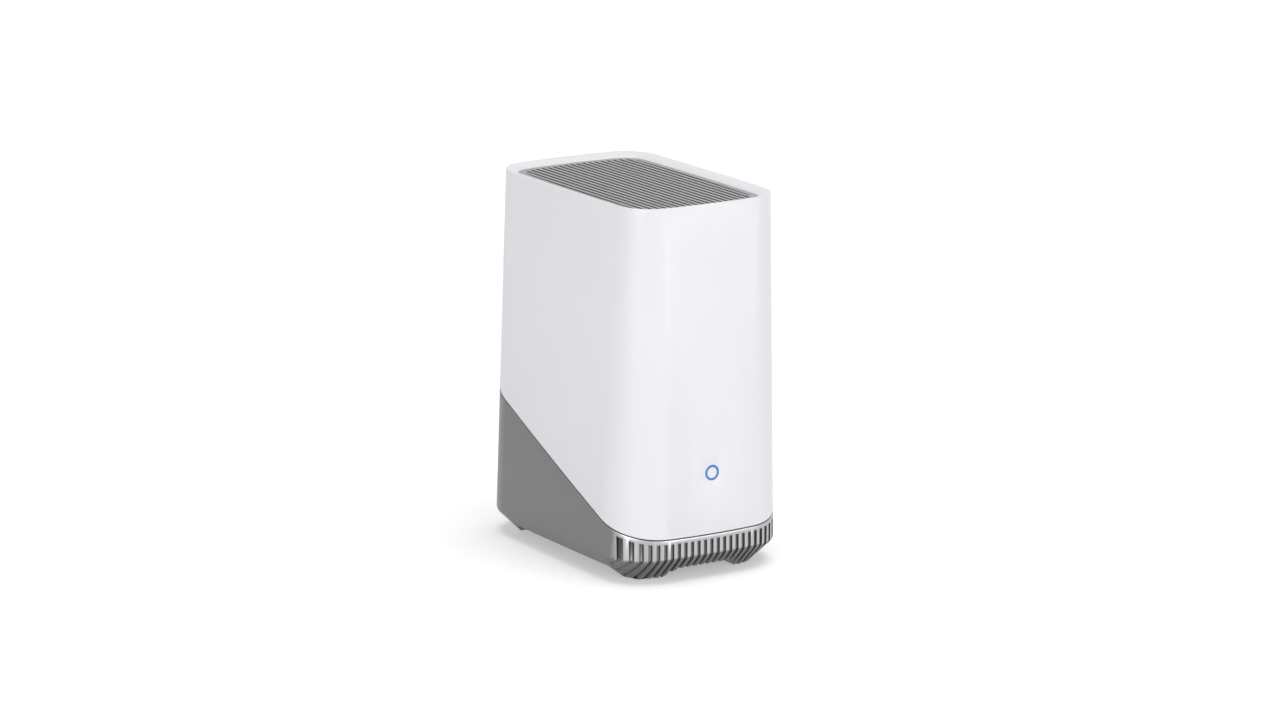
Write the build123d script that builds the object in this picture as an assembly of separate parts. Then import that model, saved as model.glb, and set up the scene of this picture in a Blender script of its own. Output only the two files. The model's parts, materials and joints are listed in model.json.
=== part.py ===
from build123d import *
import math
import os

os.makedirs("parts", exist_ok=True)

# A security camera base station: a tapered white shell on a grey base with fluted front feet.
# Millimetres. The origin is the middle of the footprint on the table, +Z is up, the front faces -Y.

# Outer body: horizontal sections at the widest level, the bend, and at the top rim
BODY_HEIGHT = 200.0
BEND_HEIGHT = 12.7
BEND_HALF_WIDTH = 52.2
BEND_HALF_DEPTH = 78.0
BEND_CORNER = 28.0
BEND_RADIUS = 4.0
TOP_HALF_WIDTH = 46.0
TOP_HALF_DEPTH = 74.3
TOP_CORNER = 20.0
TOP_SHIFT = -3.5
FRONT_BULGE = 3.0
SIDE_BULGE = 1.0

# Seam between the white shell and the grey base: a curve at the front, then straight up to the rear
SEAM_FRONT_HEIGHT = 23.9
SEAM_TURN_HEIGHT = 33.8
SEAM_TURN_RUN = 30.0
SEAM_REAR_HEIGHT = 87.2
SEAM_GAP = 0.7

# Walls and general clearances
SHELL_WALL = 2.2
BASE_WALL = 2.6
FIXED_FIT = 0.1
SLIDE_FIT = 0.3
SHAFT_FIT = 0.04
OVERRUN = 1.0

# Shell rim, recessed top and screw columns
RIM_LAND = 1.3
BEVEL_RUN = 5.0
GRILLE_DROP = 2.6
LIP_EDGE = 1.6
COLUMN_RADIUS = 3.5
COLUMN_WEB = 2.0
COLUMN_WEB_RISE = 8.0
COLUMN_WEB_SHARE = 0.48

# Grille and the mesh behind it
GRILLE_FLANGE = 2.0
GRILLE_FLANGE_INSET = 3.2
GRILLE_BORDER = 3.8
SLOT_COUNT = 20
SLOT_PITCH = 3.7
SLOT_WIDTH = 1.45
MESH_THICKNESS = 0.8

# Base: floor, feet, flutes and the tongue that the shell fits over
FLOOR_UNDERSIDE = 6.0
FLOOR_THICKNESS = 3.0
FOOT_PLANE = 0.6
TONGUE_WALL = 1.6
TONGUE_REACH = 4.0
TONGUE_ROOT = 6.0
FRONT_ARCH_INSET = 38.2
SIDE_ARCH_INSET = 31.5
FRONT_ARCH_HALF = BEND_HALF_WIDTH - FRONT_ARCH_INSET
SIDE_ARCH_HALF = BEND_HALF_DEPTH - SIDE_ARCH_INSET
FRONT_ARCH_FLARE = 8.5
SIDE_ARCH_FLARE = 6.5
FLARE_BOW = 0.9
FLUTE_COUNT = 25
FLUTE_PITCH = 3.97
FLUTE_WIDTH = 2.0
FLUTE_DEPTH = 1.4
FLUTE_MARGIN = 2.2
FLUTE_RUN = 24.0
FLOOR_VENT_COUNT = 9
FLOOR_VENT_PITCH = 6.0
FLOOR_VENT_WIDTH = 2.4
FLOOR_VENT_LENGTH = 24.0
FLOOR_VENT_INSET = 24.0
FLOOR_VENT_FRONT = FLOOR_VENT_INSET - BEND_HALF_DEPTH

# Feet pads and the shell screws that they hide
FOOT_SIDE_INSET = 20.6
FOOT_END_INSET = 21.0
FOOT_X = BEND_HALF_WIDTH - FOOT_SIDE_INSET
FOOT_Y = BEND_HALF_DEPTH - FOOT_END_INSET
PAD_RADIUS = 4.0
PAD_THICKNESS = 1.6
PAD_CHAMFER = 0.3
SCREW_RADIUS = 1.5
SCREW_HEAD_RADIUS = 2.8
SCREW_HEAD = 1.8
SHELL_SCREW_SEAT = 3.4
SHELL_SCREW_LENGTH = 16.0
DRIVER_RADIUS = 1.1
DRIVER_DEPTH = 1.0

# Status ring on the front, its light guide and board
RING_HEIGHT = 57.0
RING_OUTER_RADIUS = 4.1
RING_STROKE = 1.15
RING_PROUD = 0.1
GUIDE_FLANGE_RADIUS = 6.0
GUIDE_FLANGE = 1.2
GUIDE_RADIUS = 3.4
GUIDE_LENGTH = 2.6
LED_SIZE = 1.6
LED_HEIGHT = 0.7
LED_COUNT = 4
LED_BOARD_WIDTH = 30.0
LED_BOARD_HEIGHT = 14.0
BOARD_THICKNESS = 1.6
LED_BOSS_X = 11.0
LED_BOSS_RADIUS = 2.6

# Port panel in the rear of the base
PANEL_SETBACK = 4.4
PANEL_FACE = BEND_HALF_DEPTH - PANEL_SETBACK
PANEL_THICKNESS = 2.0
PANEL_SIDE_INSET = 16.0
PANEL_HALF_WIDTH = BEND_HALF_WIDTH - PANEL_SIDE_INSET
PANEL_BOTTOM = 17.0
PANEL_TOP = 61.0
PANEL_CORNER = 6.0
PANEL_LEDGE = 2.2
PANEL_FRAME = 3.0
PANEL_LEDGE_DEPTH = 1.6
PANEL_SCREW_INSET = 6.0
PANEL_SCREW_X = PANEL_HALF_WIDTH - PANEL_SCREW_INSET

# Ports, in one row across the panel
PORT_ROW = 27.5
PORT_SETBACK = 0.3
PORT_GAP = 0.25
ETHERNET_X = 15.0
ETHERNET_WIDTH = 16.0
ETHERNET_HEIGHT = 13.6
ETHERNET_LENGTH = 21.3
SOCKET_WIDTH = 11.8
SOCKET_HEIGHT = 6.8
SOCKET_DEPTH = 12.5
SOCKET_RISE = 1.2
CLIP_WIDTH = 6.2
CLIP_HEIGHT = 2.2
USB_X = -6.0
USB_WIDTH = 13.2
USB_HEIGHT = 5.8
USB_WALL = 0.4
USB_DEPTH = 9.5
USB_TONGUE = 1.9
USB_TONGUE_SIDE = 0.7
POWER_X = -23.0
POWER_BODY = 9.4
POWER_BORE_RADIUS = 3.2
POWER_PIN_RADIUS = 1.0
POWER_DEPTH = 9.0

# Sync button and its switch
BUTTON_HEIGHT = 49.0
BUTTON_X = 0.0
BUTTON_RADIUS = 5.5
BUTTON_PROUD = 0.9
BUTTON_FLANGE = 1.2
BUTTON_FLANGE_RADIUS = 6.8
BUTTON_STEM_RADIUS = 2.0
BUTTON_TRAVEL = 0.8
SWITCH_SIZE = 6.2
SWITCH_BODY = 3.6
PLUNGER_RADIUS = 1.7
PLUNGER_PROUD = 1.4

# Main board and what is soldered to it
BOARD_SIDE_INSET = 11.6
BOARD_HALF_WIDTH = BEND_HALF_WIDTH - BOARD_SIDE_INSET
BOARD_BOTTOM = 14.0
BOARD_HEIGHT = 108.0
BOARD_TOP = BOARD_BOTTOM + BOARD_HEIGHT
BOARD_CORNER = 3.0
BOARD_SCREW_INSET = 4.0
PROCESSOR_SIZE = 21.0
PROCESSOR_THICKNESS = 1.6
PROCESSOR_X = -14.0
PROCESSOR_Z = 94.4
SINK_SIZE = 40.0
SINK_BASE = 2.0
SINK_HEIGHT = 10.0
SINK_FINS = 9
SINK_FIN = 1.2
CAN_WIDTH = 26.0
CAN_HEIGHT = 20.0
CAN_DEPTH = 3.0
CAN_X = 24.0
CAN_Z = 104.0
CAN_STEP = 26.0
MEMORY_WIDTH = 11.0
MEMORY_HEIGHT = 9.0
MEMORY_DEPTH = 1.2
MEMORY_STEP = 13.0
MEMORY_Z = 66.0

# Chassis: an upright plate with a shelf on top
CHASSIS_THICKNESS = 2.0
CHASSIS_MARGIN = 1.0
CHASSIS_HALF_WIDTH = BOARD_HALF_WIDTH + CHASSIS_MARGIN
STANDOFF_LENGTH = 16.4
SHELF_DROP = 40.0
SHELF_HEIGHT = BODY_HEIGHT - SHELF_DROP
SHELF_SIDE_GAP = 3.9
SHELF_FRONT_GAP = 7.8
SHELF_REAR_GAP = 8.8
SHELF_HALF_WIDTH = TOP_HALF_WIDTH - SHELF_SIDE_GAP
SHELF_FRONT = TOP_SHIFT - TOP_HALF_DEPTH + SHELF_FRONT_GAP
SHELF_REAR = TOP_SHIFT + TOP_HALF_DEPTH - SHELF_REAR_GAP
SHELF_CORNER = 16.0
STANDOFF_RADIUS = 3.0
CHASSIS_FOOT_WIDTH = 12.0
CHASSIS_FOOT_DEPTH = 10.0
CHASSIS_FOOT_X = 30.0
PLATE_WINDOW_HALF = 24.0
PLATE_WINDOW_BOTTOM = 74.0
PLATE_WINDOW_TOP = 118.0
CHASSIS_SCREW_LENGTH = 4.6

# Drive bay: cage, sled, drive, door and connector
BAY_TO_CHASSIS = 28.0
DRIVE_WIDTH = 69.85
DRIVE_LENGTH = 100.2
DRIVE_THICKNESS = 9.5
DRIVE_CORNER = 2.0
DRIVE_TOP_STEP = 1.2
SLED_WALL = 1.5
SLED_SIDE_GAP = 0.25
SLED_FRONT_GAP = 3.0
CAGE_WALL = 1.5
CAGE_FOOT = 6.6
DOOR_THICKNESS = 1.7
DOOR_SIDE = 2.8
DOOR_REAR = 4.5
DOOR_FRONT = 13.0
DOOR_CORNER = 3.0
DOOR_SCREW_BACK = 5.5
DOOR_FINGER_WIDTH = 16.0
DOOR_FINGER_DEPTH = 0.9
DOOR_FINGER_LENGTH = 4.0
DRIVE_SCREW_LOW = 14.0
DRIVE_SCREW_HIGH = 76.6
DRIVE_SCREW_RADIUS = 1.45
CONNECTOR_WIDTH = 43.0
CONNECTOR_DEPTH = 5.0
CONNECTOR_HEIGHT = 4.6

# Fan under the grille
FAN_SIZE = 70.0
FAN_MARGIN = 1.0
FAN_Y = SHELF_REAR - FAN_SIZE / 2 - FAN_MARGIN
FAN_CORNER = 4.0
FAN_DEPTH = 15.0
FAN_DUCT_RADIUS = 33.2
FAN_HUB_RADIUS = 14.0
FAN_HUB_WALL = 1.4
FAN_TIP_GAP = 1.2
FAN_BASE = 2.0
FAN_STRUT = 3.0
FAN_STRUTS = 3
FAN_BLADES = 7
FAN_BLADE_CHORD = 16.0
FAN_BLADE_THICKNESS = 1.2
FAN_BLADE_PITCH = 38.0
FAN_SCREW_INSET = 4.5
FAN_SCREW_PLACE = FAN_SIZE / 2 - FAN_SCREW_INSET
BEARING_RADIUS = 3.2
BEARING_HEIGHT = 9.0
BEARING_WALL = 1.2
SHAFT_RADIUS = 1.5
ROTOR_GAP = 1.0
FAN_SCREW_TIP = 1.4

# Speaker beside the fan, facing the grille
SPEAKER_RADIUS = 26.0
SPEAKER_MARGIN = 3.0
SPEAKER_Y = SHELF_FRONT + SPEAKER_RADIUS + SPEAKER_MARGIN
SPEAKER_HEIGHT = 16.0
SPEAKER_CUP_WALL = 1.6
SPEAKER_CUP_FOOT = 1.6
BASKET_FLANGE = 1.6
BASKET_WALL = 1.4
BASKET_NECK_RADIUS = 15.0
BASKET_DEPTH = 8.0
MAGNET_RADIUS = 13.0
CONE_GAP = 0.4
CONE_THICKNESS = 0.7
CONE_DISH = 5.0
DOME_RADIUS = 8.0
GASKET_WIDTH = 3.0
GASKET_HEIGHT = 1.2

# Antennas
WIFI_WIDTH = 10.0
WIFI_HEIGHT = 42.0
WIFI_THICKNESS = 0.8
WIFI_DROP = 12.0
WIFI_BOTTOM = SHELF_HEIGHT - WIFI_DROP - WIFI_HEIGHT
RADIO_WIDTH = 50.0
RADIO_HEIGHT = 14.0
RADIO_INSET = 3.0


def block(x_low, x_high, y_low, y_high, z_low, z_high):
    """A box between two corners."""
    solid = Box(x_high - x_low, y_high - y_low, z_high - z_low)
    return Pos((x_low + x_high) / 2, (y_low + y_high) / 2, (z_low + z_high) / 2) * solid


def rod(radius, bottom, top, x=0.0, y=0.0):
    """An upright cylinder."""
    return Pos(x, y, (bottom + top) / 2) * Cylinder(radius, top - bottom)


def rod_y(radius, front, back, x, z):
    """A cylinder that lies from front to back."""
    return Pos(x, (front + back) / 2, z) * Rot(90, 0, 0) * Cylinder(radius, back - front)


def rod_x(radius, left, right, y, z):
    """A cylinder that lies from left to right."""
    return Pos((left + right) / 2, y, z) * Rot(0, 90, 0) * Cylinder(radius, right - left)


def plate_y(width, height, corner, front, back, x, z):
    """An upright plate with rounded corners that faces front and back."""
    plane = Plane(origin=(x, front, z), x_dir=(1, 0, 0), z_dir=(0, 1, 0))
    return extrude(plane * RectangleRounded(width, height, corner), back - front)


def plate_z(width, depth, corner, bottom, top, x, y):
    """A flat plate with rounded corners."""
    return extrude(Pos(x, y, bottom) * RectangleRounded(width, depth, corner), top - bottom)


def group(solids):
    """Separate solids under one name."""
    return Compound(children=[solid.solid() for solid in solids])


def save(shape, name):
    export_step(shape, "parts/" + name + ".step")


# Outer form
def outline(half_width, half_depth, corner, shift, height):
    """A rounded rectangle with slightly convex sides."""
    x = half_width - SIDE_BULGE
    y = half_depth - FRONT_BULGE
    edges = [
        ThreePointArc((-x, -y), (0, -half_depth), (x, -y)),
        ThreePointArc((x, -y), (half_width, 0), (x, y)),
        ThreePointArc((x, y), (0, half_depth), (-x, y)),
        ThreePointArc((-x, y), (-half_width, 0), (-x, -y)),
    ]
    face = make_face(edges)
    return Pos(0, shift, height) * fillet(face.vertices(), corner)


def taper(at_bend, at_top, height):
    share = (height - BEND_HEIGHT) / (BODY_HEIGHT - BEND_HEIGHT)
    return at_bend + (at_top - at_bend) * share


def section(height, inset=0.0):
    """The body's section at a height, drawn in by inset."""
    return outline(
        taper(BEND_HALF_WIDTH, TOP_HALF_WIDTH, height) - inset,
        taper(BEND_HALF_DEPTH, TOP_HALF_DEPTH, height) - inset,
        taper(BEND_CORNER, TOP_CORNER, height) - inset,
        taper(0, TOP_SHIFT, height),
        height,
    )


def bend_section(height, inset):
    """The section of the bend, drawn in and set at another height."""
    return outline(
        BEND_HALF_WIDTH - inset, BEND_HALF_DEPTH - inset, BEND_CORNER - inset, 0, height
    )


def body(bottom, top, inset=0.0):
    return loft([section(bottom, inset), section(top, inset)], ruled=True)


def front_surface(height):
    return taper(0, TOP_SHIFT, height) - taper(BEND_HALF_DEPTH, TOP_HALF_DEPTH, height)


SEAM_TURN = SEAM_TURN_RUN - BEND_HALF_DEPTH
SEAM_SLOPE = (SEAM_REAR_HEIGHT - SEAM_TURN_HEIGHT) / (BEND_HALF_DEPTH - SEAM_TURN)
SEAM_LIFT = SEAM_FRONT_HEIGHT - SEAM_TURN_HEIGHT + SEAM_TURN_RUN * SEAM_SLOPE
SEAM_REACH = BEND_HALF_DEPTH + OVERRUN


def seam_height(y):
    """How high the seam is at a depth: on the straight run, lifted before the turn."""
    ahead = max(0, SEAM_TURN - y)
    straight = SEAM_TURN_HEIGHT + (y - SEAM_TURN) * SEAM_SLOPE
    return straight + SEAM_LIFT * (ahead / SEAM_TURN_RUN) ** 2


def seam_prism(level, far):
    """All between the seam, raised by level, and a flat plane at far."""
    middle_y = (SEAM_TURN - SEAM_REACH) / 2
    front = (-SEAM_REACH, seam_height(-SEAM_REACH) + level)
    middle = (middle_y, seam_height(middle_y) + level)
    turn = (SEAM_TURN, seam_height(SEAM_TURN) + level)
    rear = (SEAM_REACH, seam_height(SEAM_REACH) + level)
    edges = [
        ThreePointArc(front, middle, turn),
        Line(turn, rear),
        Line(rear, (SEAM_REACH, far)),
        Line((SEAM_REACH, far), (-SEAM_REACH, far)),
        Line((-SEAM_REACH, far), front),
    ]
    half = BEND_HALF_WIDTH + OVERRUN
    plane = Plane(origin=(-half, 0, 0), x_dir=(0, 1, 0), z_dir=(1, 0, 0))
    return extrude(plane * make_face(edges), 2 * half)


def above_seam(level):
    return seam_prism(level, BODY_HEIGHT + OVERRUN)


def below_seam(level):
    return seam_prism(level, -OVERRUN)


# Levels that the pieces share
FLOOR_TOP = FLOOR_UNDERSIDE + FLOOR_THICKNESS
GRILLE_TOP = BODY_HEIGHT - GRILLE_DROP
LIP_UNDERSIDE = GRILLE_TOP - LIP_EDGE
GRILLE_INSET = RIM_LAND + BEVEL_RUN
GRILLE_BOTTOM = LIP_UNDERSIDE - GRILLE_FLANGE
SHELF_TOP = SHELF_HEIGHT + CHASSIS_THICKNESS
COLUMN_WEB_HEIGHT = COLUMN_WEB_SHARE * (SHELF_HEIGHT - SEAM_REAR_HEIGHT - COLUMN_WEB_RISE)
TONGUE_INSET = SHELL_WALL + FIXED_FIT
HOLE_RADIUS = SCREW_RADIUS + FIXED_FIT
PILOT_RADIUS = SCREW_RADIUS + SHAFT_FIT
PORT_FACE = PANEL_FACE - PORT_SETBACK
BOARD_REAR = PORT_FACE - ETHERNET_LENGTH
BOARD_FRONT = BOARD_REAR - BOARD_THICKNESS
CHASSIS_PLATE_FRONT = BOARD_FRONT - STANDOFF_LENGTH - CHASSIS_THICKNESS
BAY_Y = CHASSIS_PLATE_FRONT - BAY_TO_CHASSIS
PANEL_BACK = PANEL_FACE - PANEL_THICKNESS
PANEL_WIDTH = 2 * PANEL_HALF_WIDTH
PANEL_HEIGHT = PANEL_TOP - PANEL_BOTTOM
PANEL_MIDDLE = (PANEL_TOP + PANEL_BOTTOM) / 2
CORNER_SIGNS = [(-1, -1), (1, -1), (-1, 1), (1, 1)]


# Screws
def screw_z(length, x, y, seat, head_up, radius=SCREW_RADIUS):
    """A pan head screw on Z: its head starts at the seat, on the upper or the lower side."""
    way = 1 if head_up else -1
    tip = seat - way * length
    top = seat + way * SCREW_HEAD
    shank = rod(radius, min(tip, seat), max(tip, seat), x, y)
    head = rod(SCREW_HEAD_RADIUS, min(seat, top), max(seat, top), x, y)
    floor = top - way * DRIVER_DEPTH
    driver = rod(DRIVER_RADIUS, min(floor, top), max(floor, top), x, y)
    return shank + head - driver


def screw_y(length, x, z, seat, head_rear, radius=SCREW_RADIUS):
    """A pan head screw on Y: its head starts at the seat, on the rear or the front side."""
    way = 1 if head_rear else -1
    tip = seat - way * length
    top = seat + way * SCREW_HEAD
    shank = rod_y(radius, min(tip, seat), max(tip, seat), x, z)
    head = rod_y(SCREW_HEAD_RADIUS, min(seat, top), max(seat, top), x, z)
    floor = top - way * DRIVER_DEPTH
    driver = rod_y(DRIVER_RADIUS, min(floor, top), max(floor, top), x, z)
    return shank + head - driver


# White shell
def column(sign_x, sign_y):
    """A screw column inside the shell, with a web to the nearest wall."""
    x = sign_x * FOOT_X
    y = sign_y * FOOT_Y
    web_bottom = seam_height(sign_y * BEND_HALF_DEPTH) + COLUMN_WEB_RISE
    if sign_y < 0:
        web_bottom = seam_height(y) + COLUMN_WEB_RISE
    top = web_bottom + COLUMN_WEB_HEIGHT
    half = COLUMN_WEB / 2
    reach = sign_y * (BEND_HALF_DEPTH + OVERRUN)
    web = block(x - half, x + half, min(y, reach), max(y, reach), web_bottom, top)
    return rod(COLUMN_RADIUS, FLOOR_TOP, top, x, y) + web


def outer_shell():
    hollow_bottom = BEND_HEIGHT - OVERRUN
    shell = body(BEND_HEIGHT, BODY_HEIGHT)
    hollow = body(hollow_bottom, LIP_UNDERSIDE, SHELL_WALL)
    opening = body(LIP_UNDERSIDE - OVERRUN, BODY_HEIGHT + OVERRUN, GRILLE_INSET)
    over_inset = OVERRUN * BEVEL_RUN / GRILLE_DROP
    bevel = loft(
        [
            section(GRILLE_TOP - OVERRUN, GRILLE_INSET + over_inset),
            section(BODY_HEIGHT + OVERRUN, RIM_LAND - over_inset),
        ],
        ruled=True,
    )
    shell = (shell - hollow - opening - bevel) & above_seam(SEAM_GAP / 2)
    whole = body(BEND_HEIGHT - FLOOR_TOP, BODY_HEIGHT, SHELL_WALL / 2)
    for sign_x, sign_y in CORNER_SIGNS:
        shell += column(sign_x, sign_y) & whole
    for sign_x, sign_y in CORNER_SIGNS:
        pilot_top = SHELL_SCREW_SEAT + SHELL_SCREW_LENGTH + OVERRUN
        shell -= rod(PILOT_RADIUS, FLOOR_TOP - OVERRUN, pilot_top, sign_x * FOOT_X, sign_y * FOOT_Y)
    for side in (-1, 1):
        x = side * LED_BOSS_X
        shell += rod_y(LED_BOSS_RADIUS, WALL_INSIDE - OVERRUN, LED_BOARD_FACE, x, RING_HEIGHT)
        shell -= rod_y(LED_PILOT, WALL_INSIDE, LED_BOARD_FACE + OVERRUN, x, RING_HEIGHT)
    ring_hole = RING_OUTER_RADIUS + FIXED_FIT
    return shell - rod_y(ring_hole, WALL_OUTSIDE - OVERRUN, WALL_INSIDE + OVERRUN, 0, RING_HEIGHT)


# Status ring
WALL_OUTSIDE = front_surface(RING_HEIGHT)
WALL_INSIDE = WALL_OUTSIDE + SHELL_WALL
RING_FACE = WALL_OUTSIDE - RING_PROUD
GUIDE_FLANGE_BACK = WALL_INSIDE + FIXED_FIT + GUIDE_FLANGE
GUIDE_BACK = GUIDE_FLANGE_BACK + GUIDE_LENGTH
LED_BOARD_FACE = GUIDE_BACK + LED_HEIGHT + FIXED_FIT
LED_BOARD_BACK = LED_BOARD_FACE + BOARD_THICKNESS
LED_PILOT = SHAFT_FIT + SCREW_RADIUS / 2 + FIXED_FIT
LED_SCREW_RADIUS = LED_PILOT - SHAFT_FIT
CAP_RADIUS = RING_OUTER_RADIUS - RING_STROKE


def status_ring():
    """A clear ring with a flange behind the wall and a light guide to the board."""
    ring = rod_y(RING_OUTER_RADIUS, RING_FACE, WALL_INSIDE + FIXED_FIT, 0, RING_HEIGHT)
    flange = rod_y(GUIDE_FLANGE_RADIUS, WALL_INSIDE + FIXED_FIT, GUIDE_FLANGE_BACK, 0, RING_HEIGHT)
    guide = rod_y(GUIDE_RADIUS, GUIDE_FLANGE_BACK, GUIDE_BACK, 0, RING_HEIGHT)
    bore = rod_y(CAP_RADIUS, RING_FACE - OVERRUN, WALL_INSIDE, 0, RING_HEIGHT)
    return ring + flange + guide - bore


def ring_cap():
    """The plain disc that fills the ring."""
    return rod_y(CAP_RADIUS - SHAFT_FIT, WALL_OUTSIDE, WALL_INSIDE, 0, RING_HEIGHT)


def led_board():
    board = plate_y(
        LED_BOARD_WIDTH, LED_BOARD_HEIGHT, BOARD_CORNER / 2, LED_BOARD_FACE, LED_BOARD_BACK, 0, RING_HEIGHT
    )
    for side in (-1, 1):
        board -= rod_y(
            LED_SCREW_RADIUS + FIXED_FIT,
            LED_BOARD_FACE - OVERRUN,
            LED_BOARD_BACK + OVERRUN,
            side * LED_BOSS_X,
            RING_HEIGHT,
        )
    return board


def status_leds():
    """Small lamps in a circle behind the guide."""
    lamps = []
    for index in range(LED_COUNT):
        angle = 2 * math.pi * (index + 0.5) / LED_COUNT
        place = GUIDE_RADIUS - LED_SIZE / 2
        x = place * math.cos(angle)
        z = RING_HEIGHT + place * math.sin(angle)
        lamps.append(block_at(x, z, LED_SIZE, LED_SIZE, LED_BOARD_FACE - LED_HEIGHT, LED_BOARD_FACE))
    return group(lamps)


def led_screws():
    length = BOARD_THICKNESS + GUIDE_LENGTH
    screws = []
    for side in (-1, 1):
        screws.append(
            screw_y(length, side * LED_BOSS_X, RING_HEIGHT, LED_BOARD_BACK, True, LED_SCREW_RADIUS)
        )
    return group(screws)


# Grille
def grille():
    """A flange under the shell's lip and a slotted panel that fills the opening."""
    flange = body(GRILLE_BOTTOM, LIP_UNDERSIDE, GRILLE_FLANGE_INSET)
    panel = body(GRILLE_BOTTOM, GRILLE_TOP, GRILLE_INSET + FIXED_FIT)
    slotted = body(GRILLE_BOTTOM - OVERRUN, GRILLE_TOP + OVERRUN, GRILLE_INSET + GRILLE_BORDER)
    slots = []
    for index in range(SLOT_COUNT):
        x = (index - (SLOT_COUNT - 1) / 2) * SLOT_PITCH
        slots.append(
            block(
                x - SLOT_WIDTH / 2,
                x + SLOT_WIDTH / 2,
                -BEND_HALF_DEPTH,
                BEND_HALF_DEPTH,
                GRILLE_BOTTOM - 2 * OVERRUN,
                GRILLE_TOP + 2 * OVERRUN,
            )
        )
    plate = flange + panel
    for slot in slots:
        plate -= slot & slotted
    return plate


def grille_mesh():
    return body(GRILLE_BOTTOM - MESH_THICKNESS, GRILLE_BOTTOM, GRILLE_FLANGE_INSET)


# Grey base
def arch(half, flare, reach, along_x):
    """The cutter that leaves two feet on a side: flat above, flared to the table."""
    low = -OVERRUN
    foot = half + flare
    rise = FLOOR_UNDERSIDE - FOOT_PLANE
    slant = math.hypot(flare, rise)
    bow_x = half + flare / 2 + FLARE_BOW * rise / slant
    bow_z = FOOT_PLANE + rise / 2 + FLARE_BOW * flare / slant
    edges = [
        Line((-half, FLOOR_UNDERSIDE), (half, FLOOR_UNDERSIDE)),
        ThreePointArc((half, FLOOR_UNDERSIDE), (bow_x, bow_z), (foot, FOOT_PLANE)),
        Line((foot, FOOT_PLANE), (foot, low)),
        Line((foot, low), (-foot, low)),
        Line((-foot, low), (-foot, FOOT_PLANE)),
        ThreePointArc((-foot, FOOT_PLANE), (-bow_x, bow_z), (-half, FLOOR_UNDERSIDE)),
    ]
    if along_x:
        plane = Plane(origin=(-reach, 0, 0), x_dir=(0, 1, 0), z_dir=(1, 0, 0))
    else:
        plane = Plane(origin=(0, reach, 0), x_dir=(1, 0, 0), z_dir=(0, -1, 0))
    return extrude(plane * make_face(edges), 2 * reach)


def flute_floor():
    """The outside drawn in by the flutes' depth, on the walls and under the chamfer."""
    bottom = FOOT_PLANE - OVERRUN
    turn = BEND_HEIGHT + FLUTE_DEPTH * (math.sqrt(2) - 1)
    low_inset = BEND_HEIGHT - bottom + FLUTE_DEPTH * math.sqrt(2)
    low = loft([bend_section(bottom, low_inset), bend_section(turn, FLUTE_DEPTH)], ruled=True)
    return low + body(turn, SEAM_REAR_HEIGHT, FLUTE_DEPTH)


def flutes():
    """The grooves of the front: upright slots that run straight back under the chamfer."""
    front = -BEND_HALF_DEPTH - OVERRUN
    rear = FLUTE_RUN - BEND_HALF_DEPTH
    half = FLUTE_WIDTH / 2
    slots = []
    for index in range(FLUTE_COUNT):
        x = (index - (FLUTE_COUNT - 1) / 2) * FLUTE_PITCH
        slots.append(block(x - half, x + half, front, rear, -OVERRUN, SEAM_REAR_HEIGHT))
    return Part(children=slots) & below_seam(-SEAM_GAP / 2 - FLUTE_MARGIN) - flute_floor()


def base_form():
    """The closed outside of the base, before it is hollowed."""
    upper = body(BEND_HEIGHT, SEAM_REAR_HEIGHT + TONGUE_REACH) & below_seam(-SEAM_GAP / 2)
    drop = BEND_HEIGHT - FOOT_PLANE
    lower = loft([bend_section(FOOT_PLANE, drop), section(BEND_HEIGHT)], ruled=True)
    whole = upper + lower
    bend = [edge for edge in whole.edges() if abs(edge.center().Z - BEND_HEIGHT) < FIXED_FIT]
    return fillet(bend, BEND_RADIUS)


def base_hollow():
    low_inset = BEND_HEIGHT - FLOOR_TOP + BASE_WALL
    low = loft([bend_section(FLOOR_TOP, low_inset), section(BEND_HEIGHT, BASE_WALL)], ruled=True)
    return low + body(BEND_HEIGHT, BODY_HEIGHT / 2 + OVERRUN, BASE_WALL)


def tongue():
    top = SEAM_REAR_HEIGHT + TONGUE_ROOT
    ring = body(BEND_HEIGHT, top, TONGUE_INSET) - body(
        BEND_HEIGHT - OVERRUN, top + OVERRUN, TONGUE_INSET + TONGUE_WALL
    )
    return ring & below_seam(TONGUE_REACH) & above_seam(-TONGUE_ROOT)


def panel_frame():
    """The block round the port panel, trimmed to the outside."""
    frame = plate_y(
        PANEL_WIDTH + 2 * PANEL_FRAME,
        PANEL_HEIGHT + 2 * PANEL_FRAME,
        PANEL_CORNER + PANEL_FRAME,
        PANEL_BACK - PANEL_LEDGE_DEPTH,
        BEND_HALF_DEPTH + OVERRUN,
        0,
        PANEL_MIDDLE,
    )
    return frame & body(BEND_HEIGHT - FLOOR_TOP, SEAM_REAR_HEIGHT, BASE_WALL / 2)


def panel_window():
    wide = plate_y(
        PANEL_WIDTH,
        PANEL_HEIGHT,
        PANEL_CORNER,
        PANEL_BACK,
        BEND_HALF_DEPTH + OVERRUN,
        0,
        PANEL_MIDDLE,
    )
    narrow = plate_y(
        PANEL_WIDTH - 2 * PANEL_LEDGE,
        PANEL_HEIGHT - 2 * PANEL_LEDGE,
        PANEL_CORNER - PANEL_LEDGE,
        PANEL_BACK - PANEL_LEDGE_DEPTH - OVERRUN,
        PANEL_BACK + OVERRUN,
        0,
        PANEL_MIDDLE,
    )
    return wide + narrow


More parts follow.
